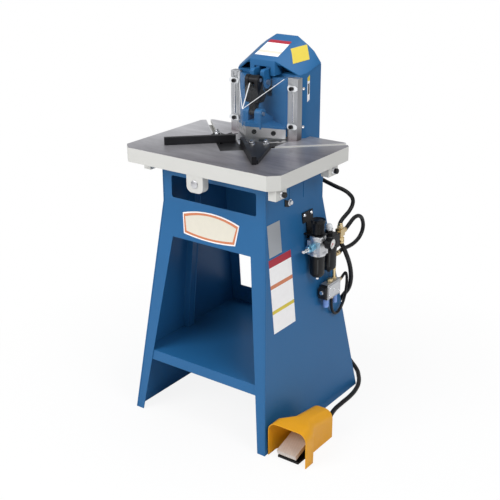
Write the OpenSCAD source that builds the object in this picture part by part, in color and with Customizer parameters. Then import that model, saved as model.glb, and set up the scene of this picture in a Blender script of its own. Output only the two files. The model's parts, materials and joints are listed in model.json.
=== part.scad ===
// Foot-operated pneumatic corner notcher on a sheet-metal stand.
// Machine axes: x = 0 is the machine's plane of symmetry, -Y is the operator's side, z = 0 is the floor.

/* [Table] */
// Height of the table's working surface above the floor
table_top = 950; // [900:5:1000]
// Width of the table
table_w = 606; // [560:2:660]
// Distance from the machine's y = 0 to the table's front edge
table_front = 275.5; // [250:0.5:290]
// Distance from the machine's y = 0 to the table's rear edge
table_back = 175.5; // [170:0.5:184]
// Size of the table's corner chamfers
table_chamfer = 31; // [10:1:45]
// Height of the table's painted rim
rim_h = 48; // [44:1:60]
// Thickness of the rim
rim_t = 12; // [8:1:16]
// Thickness of the table's plate
plate_t = 30; // [26:1:34]
// Width of the front lug
lug_w = 64; // [50:1:80]
// Width of the side lugs
side_lug_w = 56; // [40:1:70]
// How far the front lug hangs below the rim
lug_drop = 56; // [45:1:70]
// How far the side lugs hang below the rim
side_lug_drop = 34; // [30:1:50]
// Thickness of the lugs
lug_t = 28; // [20:1:34]

/* [Stand] */
// Half width of the stand's upper box
box_half = 206; // [196:1:216]
// Front face of the upper box, measured forward from y = 0
box_front = 184; // [170:1:200]
// Rear face of the upper box, measured back from y = 0
box_back = 150; // [140:1:151]
// Height of the fold where the stand starts to flare
fold_z = 759; // [720:1:765]
// Half width of the stand at the floor
foot_half = 277; // [260:1:290]
// Front of the stand at the floor
foot_front = 287; // [277:1:300]
// Rear of the stand at the floor
foot_back = 305; // [280:1:320]
// Thickness of the stand's sheet
sheet = 3; // [2:0.5:4]
// Height of the shelf's upper face
shelf_z = 228; // [180:1:300]
// Height of the shelf's folded lip
shelf_lip = 35; // [20:1:45]
// Top of the front opening
opening_top = 645; // [600:1:660]
// Half width of the front opening at its top
opening_half = 159; // [140:1:165]
// Half width of the front opening at the floor
opening_foot_half = 247; // [225:1:249]
// Lower edge of the window in the upper box
window_z = 777; // [770:1:800]
// Height of the window in the upper box
window_h = 75; // [50:1:80]
// Half width of the window in the upper box
window_half = 170; // [140:1:176]
// Corner radius of the window
window_r = 8; // [4:1:14]
// Lower edge of the rear window
rear_window_z = 302; // [260:1:340]
// Top of the rear window
rear_window_top = 560; // [480:5:600]
// Width of the rear panel's side flanges
rear_flange = 45; // [35:1:60]
// Thickness of the plate on top of the stand
top_plate_t = 8; // [6:1:12]

/* [Shear] */
// Place of the blades' common corner, in front of y = 0
v_corner = 5; // [0:1:10]
// Length of each upper blade
upper_leg = 134; // [126:1:135]
// Length of each lower blade
lower_leg = 152; // [148:1:154]
// Thickness of the upper blades
blade_t = 14; // [12:1:16]
// Height of the upper blades
blade_h = 31; // [28:1:33]
// Height of the upper blades' corner above the table when the ram is up
blade_gap = 21; // [21:0.5:23]
// How much lower the outer end of each upper blade lies than its corner
blade_rake = 18; // [14:0.5:18.5]
// Width of the lower blades
lower_w = 26; // [22:1:32]
// Thickness of the lower blades
lower_t = 20; // [18:1:24]
// Clearance between the upper and the lower blades
blade_clear = 0.1; // [0.05:0.05:0.2]
// Thickness of the black die plate
die_t = 10; // [8:1:11]
// Stroke of the ram
stroke = 25; // [22:1:26]
// Sliding clearance at the ram's guides
slide_clear = 0.3; // [0.2:0.05:0.5]

/* [Fences] */
// Width of the T-slots at the table's surface
slot_w = 16; // [14:1:18]
// Width of the T-slots' lower part
slot_tee_w = 26; // [24:1:30]
// Depth of the T-slots' lower part
slot_tee_h = 10; // [8:1:12]
// Length of a fence bar
fence_len = 234; // [200:1:260]
// Thickness of a fence bar
fence_t = 15; // [12:1:18]
// Height of a fence bar
fence_h = 25; // [20:1:30]
// Where the left fence's face crosses its T-slot
fence_left_u = 84; // [84:1:90]
// Where the right fence's face crosses its T-slot
fence_right_u = 60; // [58:1:70]
// Thickness of the fence bracket
bracket_t = 13; // [10:1:16]
// Diameter of the fence's clamp bolts
clamp_d = 10; // [8:1:12]

/* [Head] */
// Half width of the column
column_half = 135; // [135:1:145]
// Width of the folded corner at the column's front
column_bevel_w = 12; // [9:1:15]
// Depth of the folded corner at the column's front
column_bevel_d = 26; // [20:1:36]
// Front face of the column
column_front = 125; // [125:1:126]
// Rear face of the column
column_back = 236; // [234:1:242]
// Wall of the column
column_wall = 12; // [9:1:12]
// Height of the column's front edge above the table
column_h = 210; // [205:1:215]
// How much higher the column's rear edge is than its front edge
column_rise = 23; // [20:1:26]
// Height of the roof's lower front edge above the table
roof_front_h = 255; // [250:1:260]
// Height of the roof's rear edge above the table
roof_back_h = 316; // [305:1:325]
// Half width of the head's nose
nose_half = 49; // [46:1:52]
// Half width of the roof at its rear
roof_back_half = 42; // [36:1:46]
// Half width of the head's arch, where the nose meets the shoulders at the rear
arch_half = 84; // [80:1:90]
// How far the arch lies below the roof's rear edge
arch_drop = 26; // [22:1:30]
// Front face of the nose
nose_y = 90; // [90:1:92]
// Thickness of the head cover
cover_t = 3; // [2:0.5:3]
// Width of a guide strip
strip_w = 38; // [34:1:38]
// Inner edge of the guide strips
strip_x = 96; // [96:1:97]
// Front face of the guide strips
strip_y = 98; // [97:1:99]
// Thickness of the clear guard
guard_t = 5; // [4:0.5:6]
// Distance of the guard's front corner from the blades' corner
guard_gap = 12; // [11:1:15]
// Height of the guard's front corner above the table
guard_h = 114; // [100:1:120]
// Gap between the guard and the table, where the sheet goes in
guard_z = 12; // [10:1:16]

/* [Lever] */
// Place of the lever's pivot behind y = 0
pivot_y = 82; // [81:1:83]
// Height of the lever's pivot above the table
pivot_h = 186; // [184:1:188]
// Horizontal distance from the pivot to the link's pin
front_arm = 40; // [39:1:41]
// Place of the cylinder's axis behind y = 0
rod_y = 200; // [199:1:200]
// Thickness of the lever
lever_t = 24; // [20:1:26]
// Diameter of the lever's pivot pin
pivot_d = 16; // [14:1:18]
// Diameter of the link's and the clevis's pins
pin_d = 12; // [10:1:13]
// Free play of those pins in the lever's slots
slot_play = 0.6; // [0.5:0.05:0.8]
// Radial running clearance of the pins
pin_clear = 0.05; // [0.02:0.01:0.08]
// Height of the link's lower pin above the table
link_low_h = 90; // [88:1:92]

/* [Cylinder] */
// Side of the cylinder's square end caps
cap_w = 90; // [80:1:90]
// Height of each end cap
cap_h = 28; // [24:1:30]
// Outer diameter of the barrel
barrel_d = 86; // [76:1:88]
// Bore of the cylinder
bore_d = 80; // [70:1:82]
// Diameter of the piston rod
rod_d = 20; // [16:1:20]
// Thickness of the piston
piston_t = 20; // [16:1:22]
// Diameter of the tie rods
tie_d = 8; // [6:1:8]
// Length of the barrel between the end caps
barrel_len = 100; // [100:1:104]
// Underside of the column's rear foot, below the table's surface
rear_foot = 50; // [46:1:50]

/* [Air unit] */
// Gap between the stand's side and the valve
valve_gap = 4.8; // [4:0.1:8]
// Place of the regulator along the stand's side
unit_y = 43; // [36:1:50]
// Height of the unit's ports
unit_z = 633; // [620:1:640]
// Distance between the regulator and the lubricator
unit_pitch = 75; // [70:1:80]
// Diameter of the regulator's knob
knob_d = 43; // [38:1:46]
// Height of the regulator's knob
knob_h = 48; // [40:1:54]
// Diameter of the bowls
bowl_d = 46; // [40:1:48]
// Length of the bowls
bowl_len = 80; // [70:1:104]
// Diameter of the gauge
gauge_d = 40; // [36:1:44]
// Depth of the gauge's case
gauge_depth = 24; // [20:1:28]
// Width of the valve's block
valve_w = 28; // [24:1:28]
// Height of the valve's block
valve_h = 56; // [50:1:60]

/* [Pedal] */
// Gap between the stand's foot and the pedal's guard
pedal_gap = 2; // [1:1:20]
// Place of the pedal's rear end in front of y = 0
pedal_y = 58; // [40:1:70]
// Length of the pedal's guard
pedal_len = 213; // [200:1:220]
// Width of the guard's flared mouth
mouth_w = 146; // [140:1:160]
// Width of the guard's rear part
pedal_w = 84; // [80:1:90]
// Height of the guard's mouth
mouth_h = 124; // [110:1:130]
// Height of the guard's rear end
pedal_h = 101; // [95:1:110]
// Thickness of the guard's sheet
pedal_sheet = 2.5; // [2:0.5:3]
// Width of the treadle
treadle_w = 72; // [60:1:74]
// Length of the treadle
treadle_len = 114; // [100:1:116]

/* [Hoses] */
// Diameter of the air hoses
hose_d = 14; // [8:0.5:14]
// Diameter of the hose from the tee to the valve
valve_hose_d = 10; // [8:0.5:12]
// Diameter of the pedal's hose
pedal_hose_d = 16; // [10:0.5:16]

/* [Hidden] */

$fn = 48;
eps = 0.01;                                       // overlap that joins two forms of one piece
far = 2000;                                       // longer than anything in the machine
blue = [0.16, 0.36, 0.63];
cream = [0.88, 0.87, 0.80];
steel = [0.72, 0.72, 0.74];
dark = [0.13, 0.13, 0.14];
brass = [0.78, 0.62, 0.28];
yellow = [0.95, 0.66, 0.08];
rubber = [0.07, 0.07, 0.08];

// The row's origin is at the middle of the object's base, its hoses apart.
pedal_x = foot_half + pedal_gap + mouth_w / 2;
pedal_reach = pedal_x + mouth_w / 2;
origin_x = (pedal_reach - table_w / 2) / 2;
origin_y = (foot_back - foot_front) / 2;

table_under = table_top - rim_h;
plate_under = table_top - plate_t;
slot_line = 122;                                  // the T-slots' common point lies this far in front
slot_inner = 70;                                  // where the T-slots start, from that point
bolt_1 = 30;                                      // clamp bolts, behind the fence's face
bolt_2 = 76;
rake = blade_rake / upper_leg;                    // slope of the upper blades
pivot_z = table_top + pivot_h;
swing = atan(stroke / 2 / front_arm);             // half of the lever's travel
front_y = pivot_y - front_arm;
front_z = pivot_z + stroke / 2;
rear_arm = rod_y - pivot_y;
rod_drop = rear_arm * tan(swing);
clevis_z = pivot_z - rod_drop;
link_z = table_top + link_low_h;
column_top = table_top + column_h;
roof_front = table_top + roof_front_h;
roof_back = table_top + roof_back_h;
rear_foot_z = table_top - rear_foot;
barrel_z = rear_foot_z - cap_h - barrel_len;
strip_top = column_top - 5;
screw_low = table_top + 47;
screw_high = table_top + 173;
strip_mid = strip_x + strip_w / 2;
ram_half = strip_x - slide_clear;
ram_top = column_top - 10;
ram_back = column_front - slide_clear;
tongue_y = 112;
tongue_x = strip_x + 12;
wall_tilt = atan((foot_half - box_half) / fold_z);
fence_lift = 0.3;
boss_half = 38;
cheek_in = lever_t / 2 + 0.5;
cheek_out = cheek_in + 15;
fork_out = cheek_in + 13;

module place() translate([-origin_x, -origin_y, 0]) children();
module both() {
  children();
  mirror([1, 0, 0]) children();
}
// Frame of the right blade: x runs along the blade from the common corner, y points inwards.
module leg() translate([0, -v_corner, 0]) rotate(45) children();
// Frame of the right T-slot: x runs outwards along the slot, y points to the blades.
module slot_frame() translate([0, -slot_line, 0]) rotate(45) children();
module right_side() intersection() {
  children();
  translate([0, -far / 2, -far / 2]) cube([far, far, 2 * far]);
}
module side_profile(points, x0, x1) translate([x0, 0, 0]) rotate([90, 0, 90]) linear_extrude(x1 - x0)
    polygon(points);
module front_profile(points, y0, y1) translate([0, y1, 0]) rotate([90, 0, 0]) linear_extrude(y1 - y0)
    polygon(points);
// Smallest convex form around the given corners.
module wrap(corners) hull() polyhedron(corners, [[for (i = [0:len(corners) - 1]) i]]);
module bar_x(d, x0, x1) translate([x0, 0, 0]) rotate([0, 90, 0]) cylinder(d = d, h = x1 - x0);
module bar_y(d, y0, y1) translate([0, y0, 0]) rotate([-90, 0, 0]) cylinder(d = d, h = y1 - y0);

// ---------- stand ----------
function stand_half(z) = z > fold_z ? box_half : box_half + (foot_half - box_half) * (fold_z - z)
    / fold_z;
module stand_width(inset) front_profile([[-foot_half + inset, 0], [foot_half - inset, 0],
    [box_half - inset, fold_z], [box_half - inset, table_under], [-box_half + inset, table_under],
    [-box_half + inset, fold_z]], -far, far);
module stand_depth(inset) side_profile([[-foot_front + inset, 0], [foot_back - inset, 0],
    [box_back - inset, fold_z], [box_back - inset, table_under], [-box_front + inset, table_under],
    [-box_front + inset, fold_z]], -far, far);
module slab(z0, z1) translate([-far, -far, z0]) cube([2 * far, 2 * far, z1 - z0]);
module stiffener() intersection() {
  stand_width(sheet - eps);
  slab(shelf_z + 1, table_under - top_plate_t - 1);
  difference() {
    translate([0, -50, 0]) cube([far, 34, far]);
    stand_width(28);
    intersection() {
      stand_width(sheet + 22);
      translate([0, -50 + sheet, 0]) cube([far, 34 - 2 * sheet, far]);
    }
  }
}
module side_sheet() {
  intersection() {
    difference() {
      stand_width(0);
      stand_width(sheet);
    }
    stand_depth(0);
    slab(0, table_under);
    translate([0, -far, 0]) cube([far, 2 * far, far]);
  }
  stiffener();
}
module stand_side_right() color(blue) place() side_sheet();
module stand_side_left() color(blue) place() mirror([1, 0, 0]) side_sheet();
module window_cut() hull() for (x = [-1, 1], z = [window_z + window_r, window_z + window_h - window_r])
    translate([x * (window_half - window_r), -far / 2, z]) rotate([-90, 0, 0])
    cylinder(r = window_r, h = far / 2);
module stand_front() color(blue) place() difference() {
  intersection() {
    stand_width(sheet);
    difference() {
      stand_depth(0);
      stand_depth(sheet);
    }
    translate([-far, -far, 0]) cube([2 * far, far, far]);
  }
  window_cut();
  front_profile([[-opening_foot_half, -1], [opening_foot_half, -1], [opening_half, opening_top],
      [-opening_half, opening_top]], -far, 0);
}
module stand_rear() color(blue) place() difference() {
  intersection() {
    stand_width(sheet);
    difference() {
      stand_depth(0);
      stand_depth(sheet);
    }
    translate([-far, 0, 0]) cube([2 * far, far, far]);
    slab(shelf_z - shelf_lip, table_under);
  }
  front_profile([[-stand_half(rear_window_z) + rear_flange, rear_window_z],
      [stand_half(rear_window_z) - rear_flange, rear_window_z],
      [stand_half(rear_window_top) - rear_flange, rear_window_top],
      [-stand_half(rear_window_top) + rear_flange, rear_window_top]], 0, far);
}
module stand_shelf() color(blue) place() difference() {
  intersection() {
    stand_width(sheet);
    stand_depth(sheet);
    slab(shelf_z - shelf_lip, shelf_z);
  }
  intersection() {
    stand_width(2 * sheet);
    stand_depth(2 * sheet);
    slab(0, shelf_z - sheet);
  }
}
module stand_top_plate() color(blue) place() difference() {
  intersection() {
    stand_width(sheet);
    stand_depth(sheet);
    slab(table_under - top_plate_t, table_under);
  }
  translate([-130, -90, 0]) cube([260, 220, far]);
}

// ---------- table ----------
module table_outline(inset = 0) {
  w = table_w / 2 - inset;
  f = table_front - inset;
  b = table_back - inset;
  c = table_chamfer - inset * 0.586;
  polygon([[-w + c, -f], [w - c, -f], [w, -f + c], [w, b - c], [w - c, b], [-w + c, b], [-w, b - c],
      [-w, -f + c]]);
}
hole_side = ram_half + 0.5;
hole_front = v_corner + 0.5;
module scrap_outline() polygon([[0, -hole_front], [hole_side, hole_side - hole_front],
    [hole_side, strip_y - 0.5], [70, column_front - 0.5], [34, 160], [-34, 160],
    [-70, column_front - 0.5], [-hole_side, strip_y - 0.5], [-hole_side, hole_side - hole_front]]);
module lower_blade_pocket(depth, play) both() right_side() leg()
    translate([-lower_w, -lower_w - play, table_top - depth])
    cube([lower_w + lower_leg + play, lower_w + play + eps, depth + 1]);
module tee_slots() both() slot_frame() {
  translate([slot_inner, -slot_w / 2, table_top - far / 4]) intersection() {
    cube([far, slot_w, far]);
    translate([0, 0, far / 4 - die_t - 1]) cube([far, slot_w, far]);
  }
  translate([slot_inner, -slot_tee_w / 2, table_top - die_t - slot_tee_h])
      cube([far, slot_tee_w, slot_tee_h]);
}
die_half = 112;
die_front = 141;
die_corner = die_front - die_half;
die_back = lower_leg * sqrt(2) - v_corner - die_half;
module die_outline(play = 0) polygon([[0, -die_front - play], [die_half + play, -die_corner],
    [die_half + play, die_back + play], [die_back + v_corner, die_back + play], [0, -v_corner],
    [-die_back - v_corner, die_back + play], [-die_half - play, die_back + play],
    [-die_half - play, -die_corner]]);
module lug_front() intersection() {
  translate([-lug_w / 2, -table_front + 2, table_under - lug_drop])
      cube([lug_w, lug_t, lug_drop + rim_h - plate_t + eps]);
  union() {
    translate([0, 0, table_under - lug_drop + 20]) translate([-far, -far, 0])
        cube([2 * far, 2 * far, far]);
    for (x = [-1, 1]) translate([x * (lug_w / 2 - 20), 0, table_under - lug_drop + 20])
        rotate([90, 0, 0]) cylinder(r = 20, h = far);
    translate([-lug_w / 2 + 20, -far, 0]) cube([lug_w - 40, far, far]);
  }
}
side_lug_x = table_w / 2 - 11;
module lug_side(y, drop) translate([side_lug_x - lug_t, y - side_lug_w / 2, table_under - drop])
    cube([lug_t, side_lug_w, drop + rim_h - plate_t + eps]);
lug_places = [[1, -226, side_lug_drop], [1, 70, side_lug_drop], [-1, -150, lug_drop - 6],
    [-1, 70, side_lug_drop]];
lug_screw_d = 10;
module table() color(cream) place() difference() {
  union() {
    translate([0, 0, plate_under]) linear_extrude(plate_t) table_outline();
    translate([0, 0, table_under]) linear_extrude(rim_h - plate_t + eps) difference() {
      table_outline();
      table_outline(rim_t);
    }
    translate([0, 0, table_under]) linear_extrude(rim_h - plate_t + eps) difference() {
      translate([-box_half + 6, -box_front + 6]) square([2 * box_half - 12, box_front + box_back - 12]);
      translate([-box_half + 18, -box_front + 18])
          square([2 * box_half - 36, box_front + box_back - 36]);
    }
    lug_front();
    for (p = lug_places) mirror([p[0] < 0 ? 1 : 0, 0, 0]) lug_side(p[1], p[2]);
  }
  translate([0, 0, table_top - die_t]) linear_extrude(far) die_outline(0.1);
  translate([0, 0, -1]) linear_extrude(far) scrap_outline();
  lower_blade_pocket(lower_t, 0.1);
  tee_slots();
  translate([0, 0, table_under - lug_drop / 2]) bar_y(lug_screw_d, -far, 0);
  for (p = lug_places) translate([0, p[1], table_under - p[2] / 2]) mirror([p[0] < 0 ? 1 : 0, 0, 0])
      bar_x(lug_screw_d, box_half + 10, far);
}
module die_plate() color(dark) place() difference() {
  translate([0, 0, table_top - die_t]) linear_extrude(die_t) die_outline();
  translate([0, 0, -1]) linear_extrude(far) scrap_outline();
  lower_blade_pocket(lower_t, 0.1);
  tee_slots();
}
lower_screws = [34, 112];
lower_screw_d = 8;
module lower_blade() right_side() difference() {
  leg() translate([-lower_w, -lower_w, table_top - lower_t])
      cube([lower_w + lower_leg, lower_w - blade_clear, lower_t]);
  leg() for (s = lower_screws) translate([s, -lower_w / 2, table_top - lower_t - 1]) {
    cylinder(d = lower_screw_d + 0.4, h = far);
    translate([0, 0, lower_t + 1 - 8.5]) cylinder(d = 13.6, h = far);
  }
}
module lower_blade_right() color(steel) place() lower_blade();
module lower_blade_left() color(steel) place() mirror([1, 0, 0]) lower_blade();
module lower_blade_screws() color(dark) place() both() leg() for (s = lower_screws)
    translate([s, -lower_w / 2, table_top - lower_t]) difference() {
  union() {
    cylinder(d = lower_screw_d, h = lower_t - 0.6);
    translate([0, 0, lower_t - 8.5]) cylinder(d = 13, h = 7.9);
  }
  translate([0, 0, lower_t - 5]) cylinder(d = 7, h = far, $fn = 6);
}
module hex_socket(d, depth) cylinder(d = d, h = depth, $fn = 6);
module lug_screws() color(steel) place() {
  translate([0, -table_front + 2, table_under - lug_drop / 2]) rotate([90, 0, 0]) difference() {
    union() {
      translate([0, 0, -lug_t]) cylinder(d = lug_screw_d - 0.2, h = lug_t);
      cylinder(d = 20, h = 1.5);
    }
    translate([0, 0, -2]) hex_socket(8, far);
  }
  for (p = lug_places) translate([p[0] * side_lug_x, p[1], table_under - p[2] / 2])
      mirror([p[0] < 0 ? 1 : 0, 0, 0]) rotate([0, 90, 0]) difference() {
    union() {
      translate([0, 0, -lug_t]) cylinder(d = lug_screw_d - 0.2, h = lug_t);
      cylinder(d = 16, h = 10);
    }
    translate([0, 0, 4]) hex_socket(8, far);
  }
}

// ---------- column, head and guides ----------
function column_edge(y) = column_top + column_rise * (y - column_front) / (column_back - column_front);
tower_half = nose_half + 1;
bevel_angle = atan(column_bevel_w / column_bevel_d);
// The column's plan with its folded front corners, drawn in by t.
module column_plan(t) polygon([[-column_half + t, far],
    [-column_half + t, column_front + column_bevel_d],
    [-column_half + column_bevel_w + t, column_front + t],
    [column_half - column_bevel_w - t, column_front + t],
    [column_half - t, column_front + column_bevel_d], [column_half - t, far]]);
tower_top = roof_front - 5;
side_screw_d = 6;
module side_screw_places() for (x = [-1, 1], z = [screw_low - 7, screw_high - 6])
    translate([x * (column_half - column_bevel_w / 2), column_front + column_bevel_d / 2, z])
    rotate([0, 0, -x * bevel_angle]) rotate([0, x * 90, 0]) children();
module column() color(blue) place() difference() {
  union() {
    intersection() {
      side_profile([[column_front, table_top], [table_back + 1, table_top],
          [table_back + 1, rear_foot_z], [column_back, rear_foot_z],
          [column_back, column_edge(column_back)], [column_front, column_top]], -column_half,
          column_half);
      linear_extrude(far) column_plan(0);
    }
    translate([-tower_half, column_front, column_top - 20])
        cube([2 * tower_half, column_wall, tower_top - column_top + 20]);
  }
  intersection() {
    translate([-far, -far, table_top - eps]) cube([2 * far, far + column_back - column_wall, far]);
    linear_extrude(2 * far) column_plan(column_wall);
  }
  translate([-column_half + column_wall, table_back + 1 + 5, rear_foot_z + 12])
      cube([2 * (column_half - column_wall), column_back - column_wall - table_back - 6, rear_foot]);
  translate([-75, column_front - 1, table_top - 1]) cube([150, column_wall + 2, 61]);
  translate([-lever_t / 2 - 3, column_front - 1, pivot_z - 50])
      cube([lever_t + 6, column_wall + 2, 100]);
  translate([0, rod_y, 0]) cylinder(d = rod_d + 4, h = far);
  for (x = [-1, 1], z = [screw_low, screw_high]) translate([x * strip_mid, 0, z])
      bar_y(8.2, column_front - 1, column_front + column_wall + 1);
  side_screw_places() translate([0, 0, -8]) cylinder(d = side_screw_d + 0.2, h = 9);
}
module bracket_cheek() side_profile([[pivot_y - 22, pivot_z], [pivot_y - 22, pivot_z + 36],
    [pivot_y - 16, pivot_z + 42], [nose_y + cover_t + 0.5, pivot_z + 42],
    [nose_y + cover_t + 0.5, tower_top], [column_front, tower_top], [column_front, ram_top + 4],
    [column_front - 12, ram_top + 4], [pivot_y + 22, pivot_z]], cheek_in, cheek_out);
module lever_bracket() color(blue) place() difference() {
  union() {
    both() {
      bracket_cheek();
      translate([0, pivot_y, pivot_z]) bar_x(44, cheek_in, cheek_out);
      translate([cheek_in, column_front - 12, ram_top + 4])
          cube([tower_half - cheek_in, 12, tower_top - ram_top - 4]);
    }
    translate([-cheek_out, nose_y + cover_t + 0.5, tower_top - 14])
        cube([2 * cheek_out, column_front - nose_y - cover_t - 0.5, 14]);
  }
  translate([0, pivot_y, pivot_z]) bar_x(pivot_d + 0.04, -far, far);
}
module lever_pivot_pin() color(steel) place() translate([0, pivot_y, pivot_z])
    bar_x(pivot_d, -cheek_out - 4, cheek_out + 4);
module lever_slot(s0, s1) for (s = [s0, s1]) translate([0, s, 0])
    bar_x(pin_d + 2 * slot_play, -far, far);
module lever() color(dark) place() translate([0, pivot_y, pivot_z]) rotate([-swing, 0, 0]) difference()
    {
  union() {
    side_profile([[-front_arm, -14], [0, -19], [rear_arm, -14], [rear_arm + 4, -14],
        [rear_arm + 4, 14], [rear_arm, 14], [0, 19], [-front_arm, 14]], -lever_t / 2, lever_t / 2);
    translate([0, -front_arm - 1, 0]) bar_x(28, -lever_t / 2, lever_t / 2);
    bar_x(40, -lever_t / 2, lever_t / 2);
    translate([0, rear_arm + 5, 0]) bar_x(28, -lever_t / 2, lever_t / 2);
  }
  bar_x(pivot_d + 2 * pin_clear, -far, far);
  lever_slot(-front_arm + 0.2, -front_arm / cos(swing) - 0.2);
  lever_slot(rear_arm - 0.2, rear_arm / cos(swing) + 0.2);
  side_profile([[-front_arm / cos(swing), -pin_d / 2 - slot_play],
      [-front_arm, -pin_d / 2 - slot_play], [-front_arm, pin_d / 2 + slot_play],
      [-front_arm / cos(swing), pin_d / 2 + slot_play]], -far, far);
  side_profile([[rear_arm, -pin_d / 2 - slot_play], [rear_arm / cos(swing), -pin_d / 2 - slot_play],
      [rear_arm / cos(swing), pin_d / 2 + slot_play], [rear_arm, pin_d / 2 + slot_play]], -far, far);
}
module link() color(dark) place() difference() {
  union() {
    side_profile([[front_y - 15, front_z], [front_y - 15, front_z - 30], [front_y - 9, link_z + 26],
        [front_y - 9, link_z], [front_y + 9, link_z], [front_y + 12, link_z + 22],
        [front_y + 32, link_z + 48], [front_y + 32, link_z + 58], [front_y + 15, front_z - 30],
        [front_y + 15, front_z]], -fork_out, fork_out);
    translate([0, front_y, front_z]) bar_x(30, -fork_out, fork_out);
    translate([0, front_y, link_z]) bar_x(22, -lever_t / 2, lever_t / 2);
  }
  translate([-cheek_in, front_y - 40, front_z - 24]) cube([2 * cheek_in, 100, far]);
  both() translate([lever_t / 2, front_y - 40, link_z - 20]) cube([far, 100, 54]);
  translate([0, front_y, front_z]) bar_x(pin_d + 0.04, -far, far);
  translate([0, front_y, link_z]) bar_x(pin_d + 0.04, -far, far);
}
module link_pins() color(steel) place() {
  translate([0, front_y, front_z]) bar_x(pin_d, -fork_out - 3, fork_out + 3);
  translate([0, front_y, link_z]) bar_x(pin_d, -boss_half - 4, boss_half + 4);
}
blade_top = table_top + blade_gap + blade_h;
foot_peak = blade_top + 16;
foot_edge = blade_top - blade_rake + 6;
module blade_room(y0, y1, s0, s1) leg() rotate([90, 0, 0]) translate([0, 0, -y1])
    linear_extrude(y1 - y0) polygon([[s0, table_top - 60], [s1, table_top - 60],
    [s1, blade_top - rake * s1], [s0, blade_top - rake * s0]]);
module ram() color(blue) place() difference() {
  union() {
    intersection() {
      linear_extrude(far) polygon([[0, -v_corner], [ram_half - 2, ram_half - 2 - v_corner],
          [ram_half - 2, strip_y + 1], [-ram_half + 2, strip_y + 1],
          [-ram_half + 2, ram_half - 2 - v_corner]]);
      front_profile([[-ram_half, foot_edge - 30], [0, blade_top - 28], [ram_half, foot_edge - 30],
          [ram_half, foot_edge], [0, foot_peak], [-ram_half, foot_edge]], -far, far);
    }
    translate([-ram_half, strip_y, table_top + stroke + 6])
        cube([2 * ram_half, ram_back - strip_y, ram_top - table_top - stroke - 6]);
    translate([-tongue_x + slide_clear, tongue_y + slide_clear, table_top + stroke + 14])
        cube([2 * (tongue_x - slide_clear), ram_back - tongue_y - slide_clear,
        ram_top - table_top - stroke - 14]);
    both() {
      side_profile([[front_y - 15, foot_edge], [front_y - 15, link_z], [front_y + 15, link_z],
          [strip_y + 1, foot_peak], [strip_y + 1, foot_edge]], cheek_in, boss_half);
      translate([0, front_y, link_z]) bar_x(30, cheek_in, boss_half);
    }
  }
  both() blade_room(-1, blade_t, -blade_t, upper_leg + 0.3);
  translate([-33, strip_y - 1, pivot_z - 50]) cube([66, far, far]);
  translate([-cheek_in, front_y - 16, link_z - 13]) cube([2 * cheek_in, 40, 60]);
  translate([0, front_y, link_z]) bar_x(pin_d + 0.04, -far, far);
  both() leg() for (s = blade_screws) translate([s, 0, blade_top - blade_h / 2 - rake * s])
      bar_y(blade_screw_d + 0.4, 0, blade_t + 9);
}
blade_screws = [29, 93];
blade_screw_d = 10;
module upper_blade() right_side() leg() difference() {
  rotate([90, 0, 0]) translate([0, 0, -blade_t]) linear_extrude(blade_t)
      polygon([[0, blade_top - blade_h], [upper_leg, blade_top - blade_h - blade_rake],
      [upper_leg, blade_top - blade_rake], [0, blade_top]]);
  for (s = blade_screws) translate([s, 0, blade_top - blade_h / 2 - rake * s]) {
    bar_y(blade_screw_d + 0.4, -1, blade_t + 1);
    bar_y(17.4, -1, 10.4);
  }
}
module upper_blade_right() color(steel) place() upper_blade();
module upper_blade_left() color(steel) place() mirror([1, 0, 0]) upper_blade();
module upper_blade_screws() color(dark) place() both() leg() for (s = blade_screws)
    translate([s, 0, blade_top - blade_h / 2 - rake * s]) difference() {
  union() {
    bar_y(blade_screw_d, 1, blade_t + 8);
    bar_y(16.4, 0.8, 10.4);
  }
  rotate([-90, 0, 0]) hex_socket(9, 6);
}
module guide_strip() difference() {
  translate([strip_x, strip_y, table_top]) cube([strip_w, column_front - strip_y,
      strip_top - table_top]);
  translate([strip_x - 1, tongue_y, table_top - 1]) cube([tongue_x - strip_x + 1, far, far]);
  for (z = [screw_low, screw_high]) translate([strip_mid, 0, z]) bar_y(8.4, 0, far);
}
module guide_strip_right() color(steel) place() guide_strip();
module guide_strip_left() color(steel) place() mirror([1, 0, 0]) guide_strip();
washer_t = 2;
module strip_screws() color(dark) place() for (x = [-1, 1], z = [screw_low, screw_high])
    translate([x * strip_mid, strip_y - guard_t - washer_t, z]) difference() {
  union() {
    bar_y(13, -8, 0);
    bar_y(8, -1, guard_t + washer_t + column_front - strip_y + 10);
  }
  translate([0, -9, 0]) rotate([-90, 0, 0]) hex_socket(6.6, 6);
}
module guard_washers() color(steel) place() for (x = [-1, 1], z = [screw_low, screw_high])
    translate([x * strip_mid, 0, z]) difference() {
  bar_y(18, strip_y - guard_t - washer_t, strip_y - guard_t);
  bar_y(8.4, 0, far);
}
module column_side_screws() color(steel) place() side_screw_places() difference() {
  union() {
    translate([0, 0, -8]) cylinder(d = side_screw_d, h = 8);
    cylinder(d = side_screw_d + 4, h = 3.5);
  }
  translate([0, 0, 1.5]) hex_socket(side_screw_d - 1, far);
}
nose_low = table_top + 205;
arch_z = roof_back - arch_drop;
bend_half = 108;                                  // the shoulder's top bends here, at the rear
bend_z = arch_z - 18;
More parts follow.
